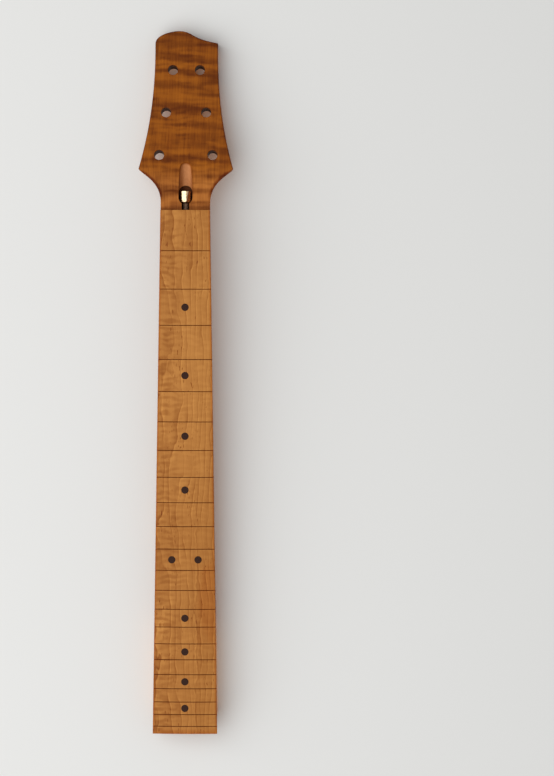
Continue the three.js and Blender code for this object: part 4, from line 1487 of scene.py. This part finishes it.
class NeckSizes(bpy.types.PropertyGroup):
    """The fine forms. The frame's nodes fix the larger sizes, which the pieces fill."""

    edge_ease: length_property("Edge easing", "Radius of the headstock's edges", 0.8, 2)
    heel_ease: length_property("Heel easing", "Width of the heel's rounded edge", 1.8, 3)
    hole_ease: length_property("Hole easing", "Radius of the tuner holes' rims", 0.15, 0.5)
    scoop_depth: length_property("Scoop", "Depth of the scoop inside the back's U", 0.45, 1)
    lip_width: length_property("Lip", "Half the width of the rounded arris of the U", 0.7, 2)
    board_roll: length_property("Board roll", "Radius of the board's long edges", 0.55, 1.5)
    slot_chamfer: length_property("Slot chamfer", "Broken edge of the fret slots", 0.07, 0.2)
    dot_ease: length_property("Dot easing", "Broken edge of the position dots", 0.08, 0.3)
    thread_pitch: length_property("Thread pitch", "Pitch of the rod's threads", 0.8, 2)
    thread_depth: length_property("Thread depth", "Depth of the rod's threads", 0.35, 0.8)


def sizes_of(context):
    """The sizes in millimetres, to a ten-thousandth."""
    group = context.scene.neck_sizes
    names = NeckSizes.__annotations__
    return SimpleNamespace(**{name: round(getattr(group, name) / MM, 4) for name in names})


class NeckFinish(bpy.types.PropertyGroup):
    """Colours and figure of the wood, inlays and metal."""

    flame_strength: level_property(
        "Flame strength", "How dark the flame bands are", 0.75, subtype="FACTOR")
    flame_band: length_property(
        "Flame band", "Usual height of one flame band along the neck", 12.5, 50, 2)
    shaft_roughness: level_property(
        "Shaft roughness", "Roughness of the oiled shaft", 0.48, subtype="FACTOR")
    board_roughness: level_property(
        "Board roughness", "Roughness of the fretboard", 0.52, subtype="FACTOR")
    face_colour: colour_property("Headstock face", "Wood of the upper face", 142, 76, 14)
    throat_colour: colour_property("Throat", "Upper face close to the nut", 166, 98, 40)
    face_dark: colour_property("Headstock bands", "Flame bands of the upper face", 100, 46, 6)
    back_colour: colour_property("Carved back", "Back near the headstock", 170, 105, 51)
    back_dark: colour_property("Back bands", "Flame bands near the headstock", 106, 54, 27)
    heel_colour: colour_property("Heel", "Back near the heel", 196, 131, 72)
    heel_dark: colour_property("Heel bands", "Flame bands near the heel", 138, 78, 34)
    board_colour: colour_property("Fretboard", "Wood of the fretboard", 176, 116, 56)
    board_dark: colour_property("Fretboard bands", "Faint flame of the board", 132, 70, 20)
    board_warm: colour_property("Fretboard patch", "Warm patch and edges", 162, 92, 34)
    groove_colour: colour_property("Fresh cut", "Upper part of the wrench groove", 184, 122, 76)
    # Darker than the fresh cut as painted shade deeper in the groove and pocket
    groove_deep: colour_property("Deep cut", "Lower part of the wrench groove", 92, 48, 22)
    # Both bore colours are darkened as painted shade inside the holes and channel, the lower one
    # most
    bore_colour: colour_property("Bores", "Upper part of the holes and the channel", 96, 52, 22)
    bore_dark: colour_property("Deep bores", "Lower part of the holes and the channel", 62, 30, 11)
    sawn_colour: colour_property("Fret slots", "Inside the fret slots", 168, 66, 8)
    inlay_colour: colour_property("Inlay", "Position dots", 48, 28, 20)
    brass_colour: colour_property("Brass", "The rod's nut", 230, 203, 164)
    brass_dull: colour_property("Dull brass", "Tarnish on the rod's nut", 140, 112, 66)
    steel_colour: colour_property("Steel", "The rod and its blocks", 156, 128, 108)
    steel_dull: colour_property("Dull steel", "Tarnish on the rod", 116, 90, 70)


class NeckStage(bpy.types.PropertyGroup):
    """Floor, light and camera."""

    floor_colour: colour_property("Floor", "Plain pale floor", 226, 226, 224)
    floor_size: length_property(
        "Floor size", "Length of one side of the floor", 12000, 20000, 1000)
    room_level: level_property("Room light", "Light that the whole room gives", 0.38, 2)
    backdrop_level: level_property(
        "Backdrop", "How pale the room looks behind the neck", 0.66)
    key_power: level_property(
        "Key lamp", "Power of the large lamp on the bass side, in watts", 74.0, 500)
    under_power: level_property(
        "Under lamp", "Power of the lamp that shows the back, in watts", 28.0, 500)
    camera_lens: level_property(
        "Lens", "Focal length of the camera, in millimetres", 116.3, 300, 20)


GROUPS = {"neck_sizes": NeckSizes, "neck_finish": NeckFinish, "neck_stage": NeckStage}


def lay_floor(stage):
    """A plain square under the neck, touching the heel's end and the headstock's tip.

    Only rays that come from above see it, so it hides nothing from below and doesn't block
    the lamp under it. Far from the neck it fades into the backdrop.
    """
    tip_y = plan_y(CREST_AT)
    slope = head_back(tip_y) / (tip_y - HEEL_END_Y)
    half = stage.floor_size / MM / 2
    middle = (HEEL_END_Y + tip_y) / 2
    corners = [(x, y, (y - HEEL_END_Y) * slope - FLOOR_GAP)
               for x, y in ((-half, middle - half), (half, middle - half),
                            (half, middle + half), (-half, middle + half))]
    material, surface = new_material("floor", 0.0, 0.0)
    s = Shader(material.node_tree)
    surface.inputs["Base Color"].default_value = (*stage.floor_colour, 1)
    surface.inputs["Roughness"].default_value = 0.9
    place = s.get("ShaderNodeTexCoord", (), "Object")
    from_middle = s.length(s.vector("SUBTRACT", place, (0, middle * MM, 0)))
    hidden = s.larger(s.larger(s.path("Is Diffuse Ray"), s.path("Is Shadow Ray")),
                      s.larger(s.get("ShaderNodeNewGeometry", (), "Backfacing"),
                               s.ramp(from_middle, *FLOOR_FADE)))
    clear = s.get("ShaderNodeBsdfTransparent")
    seen = Value(s, surface.outputs[0])
    either = s.get("ShaderNodeMixShader", {0: hidden, 1: seen, 2: clear})
    s.put(material.node_tree.nodes["Material Output"].inputs["Surface"], either)
    floor = new_piece("floor", fill_mesh("floor", corners, [[0, 1, 2, 3]]), material)


def add_lamp(name, place, size, power):
    """A square soft lamp that faces the neck and isn't seen by the camera."""
    data = bpy.data.lights.new(name, "AREA")
    data.shape = "SQUARE"
    data.size = size
    data.energy = power
    lamp = add_object(name, data)
    lamp.location = place
    away = lamp.location - mathutils.Vector(LAMP_TARGET)
    lamp.rotation_euler = away.to_track_quat("Z", "Y").to_euler()
    lamp.visible_camera = False


def light_room(stage):
    """Even room light, a pale backdrop that gives no light, and two large soft lamps."""
    world = bpy.data.worlds.new("room")
    bpy.context.scene.world = world
    world.use_nodes = True
    s = Shader(world.node_tree)
    background = world.node_tree.nodes["Background"].inputs
    background["Color"].default_value = (1, 1, 1, 1)
    seen = s.larger(s.larger(s.path("Is Camera Ray"), s.path("Is Glossy Ray")),
                    s.path("Is Transmission Ray"))
    levels = {"Value": seen, "To Min": stage.room_level, "To Max": stage.backdrop_level}
    s.put(background["Strength"], s.get("ShaderNodeMapRange", levels))
    add_lamp("key_lamp", KEY_PLACE, KEY_SIZE, stage.key_power)
    add_lamp("under_lamp", UNDER_PLACE, UNDER_SIZE, stage.under_power)


def add_camera(stage):
    """The camera over the board, a little to the treble side and leaned towards the nut."""
    data = bpy.data.cameras.new("camera")
    data.sensor_width = 36.0
    data.lens = stage.camera_lens
    camera = add_object("camera", data)
    camera.location = CAMERA_PLACE
    camera.rotation_euler = [math.radians(angle) for angle in CAMERA_TURN]
    bpy.context.scene.camera = camera


class Step:
    """What the steps share: each can be undone, and reports that it has finished."""

    bl_options = {"REGISTER", "UNDO"}

    def execute(self, context):
        self.build(context)
        return {"FINISHED"}


class NECK_OT_stage(Step, bpy.types.Operator):
    """Lays the floor and sets the lamps and the camera"""

    bl_idname = "neck.stage"
    bl_label = "Stage"

    def build(self, context):
        stage = context.scene.neck_stage
        lay_floor(stage)
        light_room(stage)
        add_camera(stage)
        context.scene.view_settings.view_transform = "Standard"


class NECK_OT_wood(Step, bpy.types.Operator):
    """Carves the neck's wood with its bores, rod channel, nut pocket and wrench groove"""

    bl_idname = "neck.wood"
    bl_label = "Neck wood"

    def build(self, context):
        build_wood(sizes_of(context), finishes_of(context))


class NECK_OT_fretboard(Step, bpy.types.Operator):
    """Makes the crowned and slotted fretboard"""

    bl_idname = "neck.fretboard"
    bl_label = "Fretboard"

    def build(self, context):
        build_board(sizes_of(context), finishes_of(context))


class NECK_OT_dots(Step, bpy.types.Operator):
    """Sets the position dots in the board's face and bass edge"""

    bl_idname = "neck.dots"
    bl_label = "Position dots"

    def build(self, context):
        build_dots(sizes_of(context), finishes_of(context))


class NECK_OT_truss_rod(Step, bpy.types.Operator):
    """Makes the rod's brass nut and threaded bar, and finishes its blocks and top bar"""

    bl_idname = "neck.truss_rod"
    bl_label = "Truss rod"

    def build(self, context):
        finishes = finishes_of(context)
        build_rod_nut(finishes)
        build_rod(sizes_of(context), finishes)
        for name in ("truss_rod_front_block", "truss_rod_rear_block", "truss_rod_top_bar"):
            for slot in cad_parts[name].material_slots:
                slot.material = finishes["steel"]


STEPS = (NECK_OT_stage, NECK_OT_wood, NECK_OT_fretboard, NECK_OT_dots, NECK_OT_truss_rod)


class NECK_PT_panel(bpy.types.Panel):
    """Lists the steps and their settings in the 3D view's sidebar"""

    bl_idname = "NECK_PT_panel"
    bl_label = "Electric guitar neck"
    bl_space_type = "VIEW_3D"
    bl_region_type = "UI"
    bl_category = "Neck"

    def draw(self, context):
        for step in STEPS:
            self.layout.operator(step.bl_idname)
        for key, kind in GROUPS.items():
            box = self.layout.box()
            for name in kind.__annotations__:
                box.prop(getattr(context.scene, key), name)


CLASSES = (*GROUPS.values(), *STEPS, NECK_PT_panel)


def register():
    for item in CLASSES:
        bpy.utils.register_class(item)
    for key, kind in GROUPS.items():
        setattr(bpy.types.Scene, key, bpy.props.PointerProperty(type=kind))


def unregister():
    for key in GROUPS:
        delattr(bpy.types.Scene, key)
    for item in reversed(CLASSES):
        bpy.utils.unregister_class(item)


def main():
    """Registers the add-on and runs its steps in order."""
    register()
    bpy.ops.neck.stage()
    bpy.ops.neck.wood()
    bpy.ops.neck.fretboard()
    bpy.ops.neck.dots()
    bpy.ops.neck.truss_rod()


if __name__ == "__main__":
    main()
